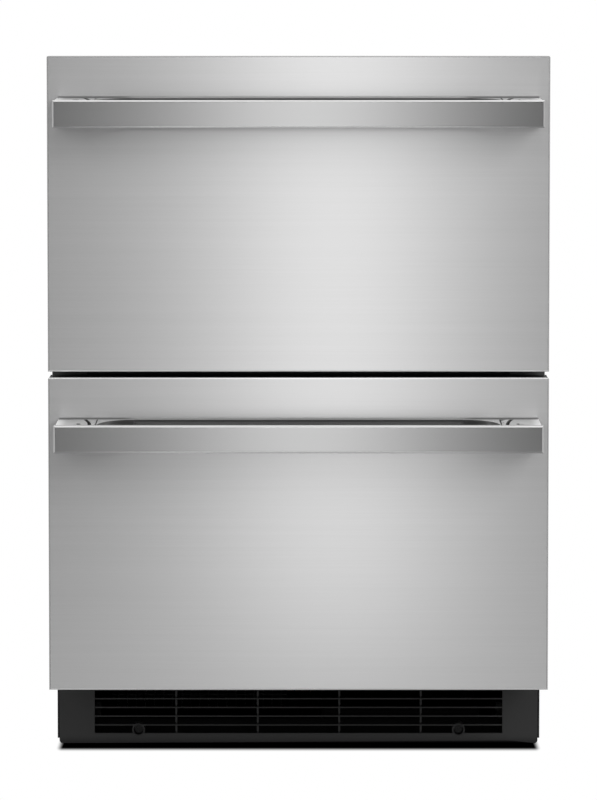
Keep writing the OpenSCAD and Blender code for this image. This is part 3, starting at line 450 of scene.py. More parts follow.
print("finishes")
looks = {
    "doorSteel": {
        "effect": ("brushGrain", {"Along": 5.0, "Across": 850.0}), "tones": grey(0.605, 0.695),
        # bendTone is painted shade on the rounded side edges and the upper front's top edge
        # lipTone is a painted highlight on the rounded edges along the gap and the foot
        "bendTone": 0.4, "lipTone": 0.95, "rough": (0.215, 0.235), "relief": 0.05, "depth": 0.02,
        "lay": (0, 0.3, 1), "plain": {"Metallic": 0.68, "Anisotropic": 0.95}},
    "handleSteel": {
        "effect": ("brushGrain", {"Along": 9.0, "Across": 1400.0}), "tones": grey(0.470, 0.505),
        # crownTone and crownMetal paint the upper faces as lit from above
        # underTone is a painted highlight on the bar's lower chamfer
        "underTone": 1.0, "crownTone": 0.70, "rough": (0.205, 0.225), "relief": 0.05, "depth": 0.02,
        "lay": (0, 0.3, 1), "lean": (0.0036, 0, 0), "crownMetal": 0.3,
        "plain": {"Metallic": 1.0, "Anisotropic": 0.95}},
    "blockSteel": {
        # crownTone and crownMetal paint the upper faces as lit from above
        "effect": ("rubbed", sized(900.0, 30.0)), "tones": grey(0.58, 0.66), "crownTone": 0.56,
        # frontTone is painted shade on the forward faces inside the handle's recesses
        # tipTone is a painted highlight on the upper faces at the very ends
        "frontTone": 0.2, "tipTone": 1.0, "rough": (0.28, 0.34), "relief": 0.06, "depth": 0.03,
        "crownMetal": 0.35, "plain": {"Metallic": 0.9}},
    "gripBlack": {
        "effect": ("pebble", sized(1500.0, 20.0)), "tones": grey(0.11, 0.18), "rough": (0.26, 0.4),
        "relief": 0.2, "depth": 0.05, "plain": {"Metallic": 0.75}},
    # painted shade: the grey of the strip above each handle plate
    "layerGrey": {
        # endTone is darker painted shade at the strip's ends
        "effect": ("rubbed", sized(900.0, 30.0)), "tones": grey(0.27, 0.31), "endTone": 0.13,
        "rough": (0.5, 0.6), "relief": 0.1, "depth": 0.02},
    "cabinetPaint": {
        "effect": ("orangePeel", sized(420.0, 3.5)), "tones": grey(0.052, 0.064),
        "rough": (0.36, 0.46), "relief": 0.25, "depth": 0.05, "plain": {"Coat Weight": 0.15}},
    "zincSheet": {
        "effect": ("spangle", sized(120.0, 7.0)), "tones": grey(0.42, 0.56), "rough": (0.32, 0.5),
        "relief": 0.05, "depth": 0.03, "plain": {"Metallic": 0.9}},
    "panBlack": {
        "effect": ("orangePeel", sized(300.0, 6.0)), "tones": grey(0.003, 0.006),
        "rough": (0.7, 0.85), "relief": 0.2, "depth": 0.05, "plain": {"Specular IOR Level": 0.15}},
    "foamBlock": {
        "effect": ("pebble", sized(900.0, 12.0)), "tones": ((0.62, 0.50, 0.26), (0.74, 0.62, 0.36)),
        "rough": (0.8, 0.95), "relief": 0.6, "depth": 0.4},
    "linerWhite": {
        "effect": ("orangePeel", sized(150.0, 4.0)), "tones": grey(0.72, 0.76),
        "rough": (0.26, 0.36), "relief": 0.15, "depth": 0.05},
    "trimBlack": {
        "effect": ("pebble", sized(900.0, 8.0)), "tones": grey(0.012, 0.018), "rough": (0.42, 0.55),
        "relief": 0.25, "depth": 0.05},
    "grilleCharcoal": {
        # footTone is painted shade along the grille's lowest part, near the floor
        "effect": ("pebble", sized(800.0, 6.0)), "tones": grey(0.0235, 0.0285), "footTone": 0.008,
        "rough": (0.5, 0.62), "relief": 0.3, "depth": 0.06},
    "screwDark": {
        "effect": ("rubbed", sized(1500.0, 90.0)), "tones": grey(0.004, 0.009), "rough": (0.4, 0.5),
        "relief": 0.1, "depth": 0.02, "plain": {"Metallic": 0.3}},
    "slideZinc": {
        "effect": ("rubbed", sized(700.0, 30.0)), "tones": grey(0.52, 0.62), "rough": (0.24, 0.36),
        "relief": 0.08, "depth": 0.02, "plain": {"Metallic": 1.0}},
    "sealRubber": {
        "effect": ("rubbed", sized(600.0, 25.0)), "tones": grey(0.030, 0.045), "rough": (0.5, 0.66),
        "relief": 0.2, "depth": 0.05},
    "displayGlass": {
        "effect": ("rubbed", sized(300.0, 14.0)), "tones": grey(0.006, 0.010),
        "rough": (0.06, 0.14), "relief": 0.02, "depth": 0.01, "plain": {"Coat Weight": 0.6}},
    "keyGrey": {
        "effect": ("pebble", sized(1400.0, 40.0)), "tones": grey(0.42, 0.48), "rough": (0.35, 0.45),
        "relief": 0.2, "depth": 0.03},
    "coilAluminium": {
        "effect": ("rubbed", sized(800.0, 40.0)), "tones": grey(0.66, 0.76), "rough": (0.25, 0.42),
        "relief": 0.1, "depth": 0.03, "plain": {"Metallic": 1.0}},
    "coilBlack": {
        "effect": ("rubbed", sized(500.0, 30.0)), "tones": grey(0.018, 0.032), "rough": (0.4, 0.58),
        "relief": 0.2, "depth": 0.04},
    "shellBlack": {
        "effect": ("orangePeel", sized(240.0, 14.0)), "tones": grey(0.012, 0.018),
        "rough": (0.22, 0.34), "relief": 0.3, "depth": 0.08, "plain": {"Coat Weight": 0.3}},
    "copperTube": {
        "effect": ("rubbed", sized(700.0, 45.0)), "tones": ((0.42, 0.17, 0.09), (0.76, 0.36, 0.20)),
        "rough": (0.24, 0.45), "relief": 0.1, "depth": 0.03, "plain": {"Metallic": 1.0}},
    "boxGrey": {
        "effect": ("pebble", sized(900.0, 15.0)), "tones": grey(0.44, 0.50), "rough": (0.4, 0.52),
        "relief": 0.2, "depth": 0.05},
    "footBlack": {
        "effect": ("pebble", sized(1000.0, 30.0)), "tones": grey(0.014, 0.024),
        "rough": (0.45, 0.6), "relief": 0.3, "depth": 0.05},
    "binPlastic": {
        "effect": ("orangePeel", sized(180.0, 6.0)),
        "tones": ((0.43, 0.455, 0.47), (0.48, 0.505, 0.52)), "rough": (0.28, 0.36), "relief": 0.05,
        "depth": 0.02, "plain": {"Coat Weight": 0.1}},
    "dividerGrey": {
        "effect": ("pebble", sized(900.0, 10.0)), "tones": grey(0.24, 0.29), "rough": (0.36, 0.46),
        "relief": 0.2, "depth": 0.04},
    "trayPlastic": {
        "effect": ("orangePeel", sized(180.0, 8.0)), "tones": grey(0.72, 0.77),
        "rough": (0.26, 0.36), "relief": 0.12, "depth": 0.04},
    "lampDiffuser": {
        "effect": ("pebble", sized(1600.0, 30.0)), "tones": grey(0.82, 0.88), "rough": (0.4, 0.5),
        "relief": 0.15, "depth": 0.03},
}
finishes = {name: finish(name, look) for name, look in looks.items()}
carried = {  # the finish of each kept solid
    "doorSteel": ["upper_door_skin", "lower_door_skin"],
    "cabinetPaint": ["cabinet_wrapper"],
    "zincSheet": ["rear_panel", "rivet_nuts"],
    "panBlack": ["base_pan", "bay_roof", "drain_pan"],
    "foamBlock": ["insulation_foam", "upper_door_foam", "lower_door_foam"],
    "trimBlack": ["centre_mullion", "fan_shroud", "cord_gland"],
    "screwDark": ["grille_screws", "upper_handle_screws", "lower_handle_screws"],
    "slideZinc": ["outer_slides", "upper_mid_slides", "lower_mid_slides", "upper_side_runners",
                  "lower_side_runners"],
    "displayGlass": ["display_window"],
    "coilAluminium": ["evaporator_coil"],
    "coilBlack": ["condenser_coil"],
    "shellBlack": ["compressor", "condenser_fan_motor", "evaporator_fan_motor"],
    "sealRubber": ["compressor_grommets"],
    "copperTube": ["refrigerant_lines"],
    "lampDiffuser": ["led_strips"],
}
for name, members in carried.items():
    for member in members:
        for place in nodes[member].material_slots:
            place.material = finishes[name]


def settle(name, shape, node, look, smoothUnder=32):  # makes a finished piece of a bmesh shape
    piece = meshObject(name, shape)
    piece.data.materials.append(finishes[look])
    piece.data.shade_smooth()
    piece.data.set_sharp_from_angle(angle=math.radians(smoothUnder))
    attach(piece, bodyOf[node])
    return piece


def merged(node):  # a node's triangles as one closed shape with whole flat faces
    shape = bmesh.new()
    shape.from_mesh(nodes[node].data)
    bmesh.ops.remove_doubles(shape, verts=shape.verts, dist=weld)
    bmesh.ops.dissolve_limit(shape, angle_limit=math.radians(flatWithin), verts=shape.verts,
                             edges=shape.edges)
    return shape


def corners(node):  # its lowest and its highest corner in mm
    low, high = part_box(node)
    return low / mm, high / mm


def pointOutwards(shape):
    bmesh.ops.recalc_face_normals(shape, faces=shape.faces)


def addSolid(shape, points, faces):
    verts = [shape.verts.new(point) for point in points]
    for face in faces:
        shape.faces.new([verts[i] for i in face])


def prism(shape, outline, low, high):  # an outline in width and depth, raised from low to high
    count = len(outline)
    points = [(x * mm, y * mm, z * mm) for z in (low, high) for x, y in outline]
    sides = [(i, (i + 1) % count, (i + 1) % count + count, i + count) for i in range(count)]
    addSolid(shape, points, sides + [tuple(reversed(range(count))), tuple(range(count, 2 * count))])


def joinRings(shape, lower, upper):
    count = len(lower)
    for i in range(count):
        j = (i + 1) % count
        shape.faces.new((lower[i], lower[j], upper[j], upper[i]))


def capEnds(shape, rings):
    shape.faces.new(list(reversed(rings[0])))
    shape.faces.new(rings[-1])


def turned(shape, profile, centre, turn, steps, capped=True):  # a profile in mm round an axis
    rings = []
    for radius, height in profile:
        ring = []
        for i in range(steps):
            a = 2 * math.pi * i / steps
            point = Vector((radius * math.cos(a), radius * math.sin(a), height)) * mm
            ring.append(shape.verts.new(centre + turn @ point))
        rings.append(ring)
    for lower, upper in zip(rings, rings[1:] + ([] if capped else rings[:1])):
        joinRings(shape, lower, upper)
    if capped:
        capEnds(shape, rings)


def longEdges(shape, least, isThere):  # edges longer than that with both ends where wanted
    return [edge for edge in shape.edges if edge.calc_length() > least * mm
            and all(isThere(vertex.co / mm) for vertex in edge.verts)]


def roundOff(shape, edges, width, steps):
    bmesh.ops.bevel(shape, geom=edges, offset=width * mm, segments=steps, profile=0.5,
                    affect="EDGES", clamp_overlap=False)


# a copy of a solid with its outer edges rounded
def eased(node, look, width, name, shape=None, sharpFrom=30, shortest=2.0):
    shape = shape or merged(node)
    weight = shape.edges.layers.float.new("bevel_weight_edge")
    for edge in shape.edges:
        outer = (len(edge.link_faces) == 2
                 and edge.calc_face_angle_signed(0) > math.radians(sharpFrom))
        if outer and edge.calc_length() > shortest * mm:
            edge[weight] = 1
    piece = settle(name, shape, node, look)
    bevel = piece.modifiers.new("easedEdges", "BEVEL")
    bevel.limit_method = "WEIGHT"
    bevel.width = width * mm
    bevel.segments = 2
    bevel.use_clamp_overlap = False
    flat = piece.modifiers.new("flatFaces", "WEIGHTED_NORMAL")
    flat.keep_sharp = True
    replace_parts(piece, node)


fillet = {"sharpFrom": 60, "steps": 5}


def filletedCopy(node, look, name, inside, outside, shortest):  # wide fillets, fine outer edges
    shape = merged(node)
    inner = [edge for edge in shape.edges
             if len(edge.link_faces) == 2 and edge.calc_length() > shortest * mm
             and edge.calc_face_angle_signed(0) < -math.radians(fillet["sharpFrom"])]
    roundOff(shape, inner, inside, fillet["steps"])
    eased(node, look, outside, name, shape, sharpFrom=50, shortest=6.0)


print("repeats")


def buildRepeat():  # rows and columns of one unit, as real geometry with its finish
    tree = bpy.data.node_groups.new("rowsAndColumns", "GeometryNodeTree")
    tree.is_modifier = True
    tree.interface.new_socket("Geometry", in_out="OUTPUT", socket_type="NodeSocketGeometry")
    kinds = {"Geometry": "Geometry", "Unit": "Object", "Columns": "Int", "Rows": "Int",
             "Start": "Vector", "Column Step": "Vector", "Row Step": "Vector",
             "Finish": "Material"}
    keys = {}
    for label, kind in kinds.items():
        socket = tree.interface.new_socket(label, in_out="INPUT", socket_type="NodeSocket" + kind)
        keys[label] = socket.identifier
    ins = tree.nodes.new("NodeGroupInput").outputs
    line = wire(tree, "GeometryNodeMeshLine", {},
                {"Count": ins["Columns"], "Start Location": ins["Start"],
                 "Offset": ins["Column Step"]}).outputs[0]
    column = wire(tree, "GeometryNodeMeshLine", {},
                  {"Count": ins["Rows"], "Start Location": (0, 0, 0),
                   "Offset": ins["Row Step"]}).outputs[0]
    grid = wire(tree, "GeometryNodeInstanceOnPoints", {},
                {"Points": line, "Instance": column}).outputs[0]
    points = wire(tree, "GeometryNodeRealizeInstances", {}, {"Geometry": grid}).outputs[0]
    unit = wire(tree, "GeometryNodeObjectInfo", {}, {"Object": ins["Unit"], "As Instance": True})
    copies = wire(tree, "GeometryNodeInstanceOnPoints", {},
                  {"Points": points, "Instance": unit.outputs["Geometry"]}).outputs[0]
    real = wire(tree, "GeometryNodeRealizeInstances", {}, {"Geometry": copies}).outputs[0]
    done = wire(tree, "GeometryNodeSetMaterial", {},
                {"Geometry": real, "Material": ins["Finish"]}).outputs[0]
    tree.links.new(done, tree.nodes.new("NodeGroupOutput").inputs[0])
    return tree, keys


repeatTree, repeatKeys = buildRepeat()


def repeated(name, node, look, unit, grids, smoothUnder=32):  # uses up the unit, grids are in mm
    unitObject = meshObject(name + "Unit", unit)
    whole = bmesh.new()
    for grid in grids:
        holder = addObject(name + "Grid", bpy.data.meshes.new(name + "Grid"))
        modifier = holder.modifiers.new("copies", "NODES")
        modifier.node_group = repeatTree
        values = {"Unit": unitObject, "Columns": grid["columns"], "Rows": grid["rows"],
                  "Start": [v * mm for v in grid["start"]],
                  "Column Step": [v * mm for v in grid["columnStep"]],
                  "Row Step": [v * mm for v in grid["rowStep"]],
                  "Finish": finishes[look]}
        for label, value in values.items():
            modifier[repeatKeys[label]] = value
        bpy.context.view_layer.update()
        graph = bpy.context.evaluated_depsgraph_get()
        mesh = bpy.data.meshes.new_from_object(holder.evaluated_get(graph), depsgraph=graph)
        holder.modifiers.clear()
        whole.from_mesh(mesh)
        bpy.data.meshes.remove(mesh)
        bpy.data.objects.remove(holder)
    bpy.data.objects.remove(unitObject)
    settle(name, whole, node, look, smoothUnder)


def spread(start, columns, step, rows=1, rise=0):  # columns along the width, rows upwards
    return {"start": start, "columns": columns, "columnStep": (step, 0, 0),
            "rows": rows, "rowStep": (0, 0, rise)}


print("handles")
handle = {
    "barEdge": 0.45, "baseEdge": 0.35, "gripEdge": 0.3,
    "plateEdge": 1.2, "plateEdgeLeast": 60, "near": 0.1,
    "liningThickness": 1.5, "liningDrop": 1.2,  # the lining's top lies below the base's
    "holeSides": 20,  # a pair of screw holes and a pair of pin holes, from above the bar's top
    "screwHole": {"x": 265.5, "y": -312.5, "above": 0.3, "radius": 4.8, "depth": 4.5},
    "pinHole": {"x": 246.0, "y": -298.0, "above": 1.2, "radius": 1.3, "depth": 1.5},
    "screw": {"play": 0.15, "chamfer": 0.4, "length": 3, "sides": 12, "sunk": 1.6},
    "screwSocket": [(2.0, 0), (1.9, -1.6)],
    # the strip of painted shade above each handle plate
    "layerDepth": 0.6, "layerRise": 2.1, "layerRoot": 2, "layerInset": 1, "layerGap": 0.02,
    "knurlPitch": 3.0, "knurlRise": 0.9, "knurlRoot": 0.05,
    "barPad": 0.8, "barPadInset": 4,
}


def boreHoles(shape, hole, top):  # a pair of blind holes down into a shape
    target = meshObject("bored", shape)
    tools = bmesh.new()
    profile = [(hole["radius"], -hole["depth"]), (hole["radius"], hole["depth"])]
    for way in (-1, 1):
        centre = Vector((way * hole["x"], hole["y"], top + hole["above"])) * mm
        turned(tools, profile, centre, upright, handle["holeSides"])
    pointOutwards(tools)
    tool = meshObject("boreTool", tools)
    cut = target.modifiers.new("bore", "BOOLEAN")
    cut.operation = "DIFFERENCE"
    cut.object = tool
    cut.solver = "EXACT"
    bpy.context.view_layer.update()
    result = bmesh.new()
    result.from_object(target, bpy.context.evaluated_depsgraph_get())
    bmesh.ops.remove_doubles(result, verts=result.verts, dist=weld)
    for item in (target, tool):
        bpy.data.objects.remove(item)
    return result


def makeBase(side, top):
    node = side + "_handle_base"
    shape = merged(node)
    for hole in ("screwHole", "pinHole"):
        shape = boreHoles(shape, handle[hole], top)
    plateFront, plateTop = corners(side + "_handle_grip")[1].y, corners(node)[1].z
    edges = longEdges(shape, handle["plateEdgeLeast"],
                      lambda at: abs(at.y - plateFront) < handle["near"]
                      and at.z > plateTop - handle["near"])
    roundOff(shape, edges, handle["plateEdge"], 1)
    eased(node, "blockSteel", handle["baseEdge"], side + "HandleBase", shape,
          sharpFrom=50, shortest=6.0)


def makeLining(side):
    node = side + "_handle_grip"
    shape = merged(node)
    top = corners(node)[1].z
    for vertex in shape.verts:
        if vertex.co.z / mm > top - handle["near"]:
            vertex.co.z -= handle["liningDrop"] * mm
    eased(node, "gripBlack", handle["gripEdge"], side + "HandleGrip", shape)


def makeSetScrews(side, top):
    hole, screw = handle["screwHole"], handle["screw"]
    radius, length, chamfer = hole["radius"] - screw["play"], screw["length"], screw["chamfer"]
    profile = [(radius - chamfer, -length), (radius, -length + chamfer), (radius, -chamfer),
               (radius - chamfer, 0), *handle["screwSocket"]]
    unit = bmesh.new()
    turned(unit, profile, Vector(), upright, screw["sides"])
    repeated(side + "SetScrews", side + "_handle_base", "screwDark", unit,
             [spread((-hole["x"], hole["y"], top - screw["sunk"]), 2, 2 * hole["x"])])


def makePlateShadeStrip(side):  # a grey strip standing above the plate's top, painted shade for the dark line above each handle
    low, high = corners(side + "_handle_base")
    left, right = low.x + handle["layerInset"], high.x - handle["layerInset"]
    back = high.y - handle["layerGap"]
    front = back - handle["layerDepth"]
    shape = bmesh.new()
    prism(shape, [(left, front), (right, front), (right, back), (left, back)],
          high.z - handle["layerRoot"], high.z + handle["layerRise"])
    settle(side + "PlateLayer", shape, side + "_handle_base", "layerGrey")


def makeKnurl(side, name, face, way, low, high):  # rows of small pyramids on a face
    node = side + "_handle_grip"
    pitch, half = handle["knurlPitch"], handle["knurlPitch"] / 2
    foot, peak = face - way * handle["knurlRoot"], face + way * handle["knurlRise"]
    unit = bmesh.new()
    for shift in (0, half):  # two pyramids, half a step apart
        points = [((shift + a) * mm, foot * mm, (shift + b) * mm)
                  for a, b in ((-half, 0), (0, -half), (half, 0), (0, half))]
        points.append((shift * mm, peak * mm, shift * mm))
        addSolid(unit, points, [(0, 1, 4), (1, 2, 4), (2, 3, 4), (3, 0, 4), (3, 2, 1, 0)])
    pointOutwards(unit)
    liningHalf = min(abs(vertex.co.x) for vertex in nodes[node].data.vertices) / mm
    columns = int(2 * liningHalf / pitch) - 1
    rows = int((high - low - half) / pitch)
    spare = (high - low) - rows * pitch - half
    start = (-(columns - 0.5) * pitch / 2, 0, low + spare / 2 + half)
    repeated(side + name, node, "gripBlack", unit, [spread(start, columns, pitch, rows, pitch)],
             smoothUnder=10)


def makeHandle(side):
    bar = side + "_handle_bar"
    eased(bar, "handleSteel", handle["barEdge"], side + "HandleBar")
    barHigh = corners(bar)[1]
    gripLow, gripHigh = corners(side + "_handle_grip")
    makeBase(side, barHigh.z)
    makeLining(side)
    makeSetScrews(side, barHigh.z)
    makePlateShadeStrip(side)
    makeKnurl(side, "FrontKnurl", gripHigh.y - handle["liningThickness"], -1,
              gripLow.z, gripHigh.z - handle["liningDrop"])
    makeKnurl(side, "BarKnurl", barHigh.y + handle["barPad"], 1,
              gripLow.z + handle["barPadInset"], barHigh.z - handle["barPadInset"])


for side in ("upper", "lower"):
    makeHandle(side)

print("toe grille")
grille = {
    "edge": 0.35, "footRound": 4.2, "footSteps": 5, "footLeast": 100, "near": 0.05,
    "cupOuter": 6.28, "cupInner": 5.9, "cupPlay": 0.2, "cupBase": 0.4, "cupSides": 28,
    "cupFront": 1.2, "cupBack": 2.9,  # how far behind the grille's face, and behind the screw
    "slats": 5, "slatPitch": 11.0, "sill": 18.5, "ribs": 4, "ribStep": 101.6,
    "ribHalf": 1.3, "ribCrown": 0.65, "ribFront": 2.2, "ribSlope": 0.6,
    "ribFoot": 2.4, "ribHead": 1.6,
}


def makeGrille():
    low = corners("toe_grille")[0]
    shape = merged("toe_grille")
    edges = longEdges(shape, grille["footLeast"],
                      lambda at: abs(at.y - low.y) < grille["near"]
                      and abs(at.z - low.z) < grille["near"])
    roundOff(shape, edges, grille["footRound"], grille["footSteps"])
    eased("toe_grille", "grilleCharcoal", grille["edge"], "toeGrille", shape,
          sharpFrom=50, shortest=4.0)


def makeScrewCups():  # a near-black sleeve round each screw, painted shade in its recess
    face = corners("toe_grille")[0].y
    screwLow, screwHigh = corners("grille_screws")
    head = (screwHigh.z - screwLow.z) / 2
    x, z = screwHigh.x - head, (screwLow.z + screwHigh.z) / 2
    hole = head + grille["cupPlay"]
    front, back = -face - grille["cupFront"], -screwLow.y - grille["cupBack"]
    inside = back + grille["cupBase"]
    unit = bmesh.new()
    turned(unit, [(hole, back), (grille["cupOuter"], back), (grille["cupOuter"], front),
                  (grille["cupInner"], front), (grille["cupInner"], inside), (hole, inside)],
           Vector(), forwards, grille["cupSides"], capped=False)
    repeated("screwCups", "toe_grille", "panBlack", unit, [spread((-x, 0, z), 2, 2 * x)])


def makeRibEdges():  # the front edges of the ribs, between each two slats
    half, crown = grille["ribHalf"], grille["ribCrown"]
    front = corners("toe_grille")[0].y + grille["ribFront"]
    back = front + grille["ribSlope"]
    unit = bmesh.new()
    prism(unit, [(-half, back), (-crown, front), (crown, front), (half, back)],
          grille["ribFoot"], grille["slatPitch"] - grille["ribHead"])
    first = -(grille["ribs"] - 1) / 2 * grille["ribStep"]
    repeated("ribEdges", "toe_grille", "grilleCharcoal", unit,
             [spread((first, 0, grille["sill"]), grille["ribs"], grille["ribStep"],
                     grille["slats"], grille["slatPitch"])])


makeGrille()
makeScrewCups()
makeRibEdges()

print("drawers")
mouldedEdge = 0.8
seal = {"width": 16,  # its outline across, outwards and backwards from its inner front edge
        "outline": ((4, 0), (13, 0), (13, 3.0), (11.4, 4.4), (11.8, 5.6), (14.6, 6.4), (16, 7.6),
                    (16, 10.0), (15.3, 10.7), (1.7, 10.7), (1, 10.0), (1, 7.6), (2.6, 6.4),
                    (5.2, 5.6), (5.6, 4.4), (4, 3.0))}
binRibs = {"width": 3.0, "height": 1.0, "root": 0.1, "crownShare": 0.6, "pitch": 42.0,
           "inset": 18.0, "binWall": 6, "binFloor": 2}


def makeSeal(side):  # bellows and magnet pocket, mitred at the corners
    node = side + "_gasket"
    low, high = corners(node)
    shape = bmesh.new()
    rings = []
    for sx, sz in ((-1, -1), (1, -1), (1, 1), (-1, 1)):
        ring = []
        for out, deep in seal["outline"]:
            past = out - seal["width"]
            x, z = sx * (high.x + past), low.z - past if sz < 0 else high.z + past
            ring.append(shape.verts.new((x * mm, (low.y + deep) * mm, z * mm)))
        rings.append(ring)
    for ring, following in zip(rings, rings[1:] + rings[:1]):
        joinRings(shape, ring, following)
    pointOutwards(shape)
    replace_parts(settle(side + "Seal", shape, node, "sealRubber", 40), node)


def makeBinRibs(side):
    node = side + "_bin"
    low, high = corners(node)
    reach = high.x - binRibs["binWall"] - binRibs["inset"]
    count = int((high.y - low.y - 2 * binRibs["inset"]) / binRibs["pitch"]) + 1
    start = (low.y + high.y) / 2 - (count - 1) * binRibs["pitch"] / 2
    half, rise, root = binRibs["width"] / 2, binRibs["height"], -binRibs["root"]
    crown = half * binRibs["crownShare"]
    profile = [(-half, root), (-crown, rise), (crown, rise), (half, root)]
    points = [(x * reach * mm, y * mm, z * mm) for x in (-1, 1) for y, z in profile]
    unit = bmesh.new()
    addSolid(unit, points, [(0, 1, 2, 3), (7, 6, 5, 4), (0, 4, 5, 1), (1, 5, 6, 2),
                            (2, 6, 7, 3), (3, 7, 4, 0)])
    pointOutwards(unit)
    grid = spread((0, start, low.z + binRibs["binFloor"]), count, 0)
    grid["columnStep"] = (0, binRibs["pitch"], 0)
    repeated(side + "BinRibs", node, "binPlastic", unit, [grid])


for side in ("upper", "lower"):
    makeSeal(side)
    filletedCopy(side + "_door_inner", "trimBlack", side + "DoorInner",
                 inside=5, outside=2.2, shortest=200)
    eased(side + "_bin", "binPlastic", mouldedEdge, side + "Bin")
    makeBinRibs(side)
eased("upper_divider", "dividerGrey", mouldedEdge, "binDivider")
eased("lower_tray", "trayPlastic", mouldedEdge, "slidingTray")

print("cabinet")
thinEdge, boxEdge = 0.5, 1.2
for side in ("upper", "lower"):
    filletedCopy(side + "_liner", "linerWhite", side + "Liner",
                 inside=9, outside=0.6, shortest=100)
eased("evaporator_cover", "linerWhite", thinEdge, "evaporatorCover", sharpFrom=50, shortest=6.0)
eased("control_housing", "trimBlack", boxEdge, "controlHousing", sharpFrom=50, shortest=8.0)
eased("electrical_box", "boxGrey", boxEdge, "electricalBox")
for key in ("colder", "warmer", "light"):
    eased("button_" + key, "keyGrey", thinEdge, "key" + key.capitalize(),
          sharpFrom=60, shortest=0.5)

louvre = {"columns": 3, "rows": 8, "columnStep": 150.0, "rowStep": 20.0, "firstZ": 90.0,
          "half": 54.0, "rise": 3.4, "top": 12.0, "low": -1.0, "lift": 0.05, "sheet": 0.4,
          "across": 14, "up": 5, "squareness": 8, "fullness": 0.8}
rearScrew = {"inset": 11.0, "low": 20.0,
             "washer": [(5.2, -0.1), (5.2, 0.7), (4.6, 1.0)], "washerSides": 16,
             "head": [(4.0, 0.9), (4.0, 2.9), (3.4, 3.5)], "headSides": 6}


def makeLouvres():  # pressed hoods over the slots of the rear panel
    back = corners("rear_panel")[1].y + louvre["lift"]
    across, up = louvre["across"], louvre["up"]
    unit = bmesh.new()
    grid = []
    for j in range(up + 1):
        v = j / up
        z = louvre["top"] + (louvre["low"] - louvre["top"]) * v
        row = []
        for i in range(across + 1):
            u = 2 * i / across - 1
            out = louvre["rise"] * max(0, 1 - abs(u) ** louvre["squareness"]) ** 0.5
            out *= math.sin(v * math.pi / 2) ** louvre["fullness"]
            row.append(unit.verts.new((u * louvre["half"] * mm, (back + out) * mm, z * mm)))
        grid.append(row)
    for j in range(up):
        for i in range(across):
            unit.faces.new((grid[j][i], grid[j][i + 1], grid[j + 1][i + 1], grid[j + 1][i]))
    bmesh.ops.solidify(unit, geom=unit.faces[:], thickness=louvre["sheet"] * mm)
    pointOutwards(unit)
    first = -(louvre["columns"] - 1) * louvre["columnStep"] / 2
    repeated("rearLouvres", "rear_panel", "zincSheet", unit,
             [spread((first, 0, louvre["firstZ"]), louvre["columns"], louvre["columnStep"],
                     louvre["rows"], louvre["rowStep"])], smoothUnder=50)


def makeRearScrews():  # five along the top and the foot, three more up each side
    high = corners("rear_panel")[1]
    face = Vector((0, high.y * mm, 0))
    unit = bmesh.new()
    for part in ("washer", "head"):
        turned(unit, rearScrew[part], face, backwards, rearScrew[part + "Sides"])
    x, low, top = high.x - rearScrew["inset"], rearScrew["low"], high.z - rearScrew["inset"]
    rise = top - low
    repeated("rearScrews", "rear_panel", "slideZinc", unit,
             [spread((-x, 0, low), 5, x / 2, 2, rise),
              spread((-x, 0, low + rise / 4), 2, 2 * x, 3, rise / 4)])


makeLouvres()
makeRearScrews()

print("legs and fans")
leg = {"foot": [(16.8, 0), (18, 1.2), (18, 3.5), (15.5, 5), (8.6, 7.4), (8.0, 7.7)],
       "footSides": 36, "studFrom": 7.5, "studTop": 1, "stud": 4.98,
       "pitch": 1.5, "threadDepth": 0.55, "sides": 20, "perTurn": 4}
blade = {"across": 8, "along": 8, "root": 1, "tipGap": 0.2, "sweep": 0.35, "sweepCurve": 1.5,
         "depthShare": 0.8, "camber": 1.4, "thickness": 1.3, "taper": 3.2}
fans = {
    "evaporator_fan": {"name": "coldFanRotor", "look": "linerWhite", "hub": 12},
    "condenser_fan": {"name": "warmFanRotor", "look": "trimBlack", "hub": 15},
}
rotor = {"blades": 5, "twist": 0.5, "chord": 0.95, "shaft": 2.6, "sides": 32,
         "hub": [(1, 0), (1, 0.8), (0.8, 0.95), (0.3, 1)]}  # shares of its radius and depth


def makeLeg(node):  # a round foot with a threaded stud
    low, high = corners(node)
    centre = Vector(((low.x + high.x) / 2, (low.y + high.y) / 2, 0)) * mm
    shape = bmesh.new()
    turned(shape, leg["foot"], centre, upright, leg["footSides"])
    rings = []
    z = leg["studFrom"]
    while z < high.z - leg["studTop"]:
        ring = []
        for i in range(leg["sides"]):
            share = i / leg["sides"]
            wave = abs(((z / leg["pitch"] - share) % 1) * 2 - 1)
            r, a = leg["stud"] - leg["threadDepth"] * wave, 2 * math.pi * share
            ring.append(shape.verts.new(centre + Vector((r * math.cos(a), r * math.sin(a), z)) * mm))
        rings.append(ring)
        z += leg["pitch"] / leg["perTurn"]
    for lower, upper in zip(rings, rings[1:]):
        joinRings(shape, lower, upper)
    capEnds(shape, rings)
    piece = settle(node.replace("_", "") + "Foot", shape, node, "footBlack", 25)
    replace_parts(piece, node)


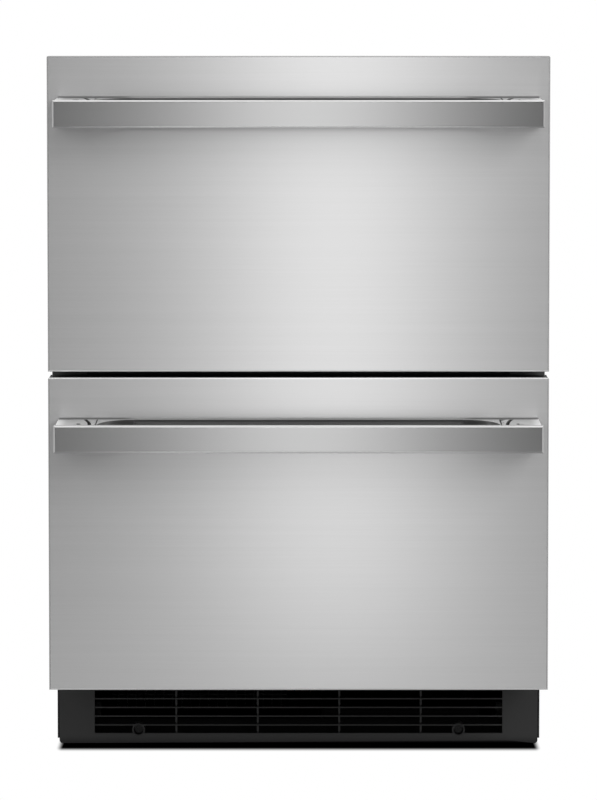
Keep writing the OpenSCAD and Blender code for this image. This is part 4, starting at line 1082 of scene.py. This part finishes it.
def bladeGrid(shape, centre, low, depth, hub, radius, start, face):  # one face of a blade
    grid = []
    for i in range(blade["across"] + 1):
        out = i / blade["across"]
        r = hub - blade["root"] + (radius - hub + blade["root"]) * out
        row = []
        for j in range(blade["along"] + 1):
            v = j / blade["along"] - 0.5
            a = start + blade["sweep"] * out ** blade["sweepCurve"] + v * rotor["chord"]
            y = low + depth / 2 + v * depth * blade["depthShare"] * math.cos(rotor["twist"] * out)
            y += blade["camber"] * (1 - 4 * v * v)
            y += blade["thickness"] * (face - 0.5) * (1 - blade["taper"] * v * v)
            row.append(shape.verts.new((centre.x + r * mm * math.cos(a), y * mm,
                                        centre.z + r * mm * math.sin(a))))
        grid.append(row)
    return grid


def addBlade(shape, sheets):  # faces both sides of a blade and closes its rim
    across, along = blade["across"], blade["along"]
    for face, grid in enumerate(sheets):
        for i in range(across):
            for j in range(along):
                quad = (grid[i][j], grid[i + 1][j], grid[i + 1][j + 1], grid[i][j + 1])
                shape.faces.new(quad if face else tuple(reversed(quad)))
    rim = [(i, 0) for i in range(across + 1)] + [(across, j) for j in range(1, along + 1)]
    rim += [(i, along) for i in range(across - 1, -1, -1)]
    rim += [(0, j) for j in range(along - 1, 0, -1)]
    near, far = sheets
    for (a, b), (c, d) in zip(rim, rim[1:] + rim[:1]):
        shape.faces.new((near[a][b], near[c][d], far[c][d], far[a][b]))


def makeFan(node, name, look, hub):
    low, high = corners(node)
    depth, radius = high.y - low.y, (high.x - low.x) / 2 - blade["tipGap"]
    centre = Vector(((low.x + high.x) / 2, 0, (low.z + high.z) / 2)) * mm
    shape = bmesh.new()
    profile = [(rotor["shaft"], 0)] + [(hub * out, depth * deep) for out, deep in rotor["hub"]]
    turned(shape, profile, centre + Vector((0, high.y * mm, 0)), forwards, rotor["sides"])
    for i in range(rotor["blades"]):
        start = 2 * math.pi * i / rotor["blades"]
        addBlade(shape, [bladeGrid(shape, centre, low.y, depth, hub, radius, start, face)
                         for face in (0, 1)])
    pointOutwards(shape)
    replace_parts(settle(name, shape, node, look, 40), node)


for place in ("front_left", "front_right", "rear_left", "rear_right"):
    makeLeg("leg_" + place)
for node, fan in fans.items():
    makeFan(node, **fan)
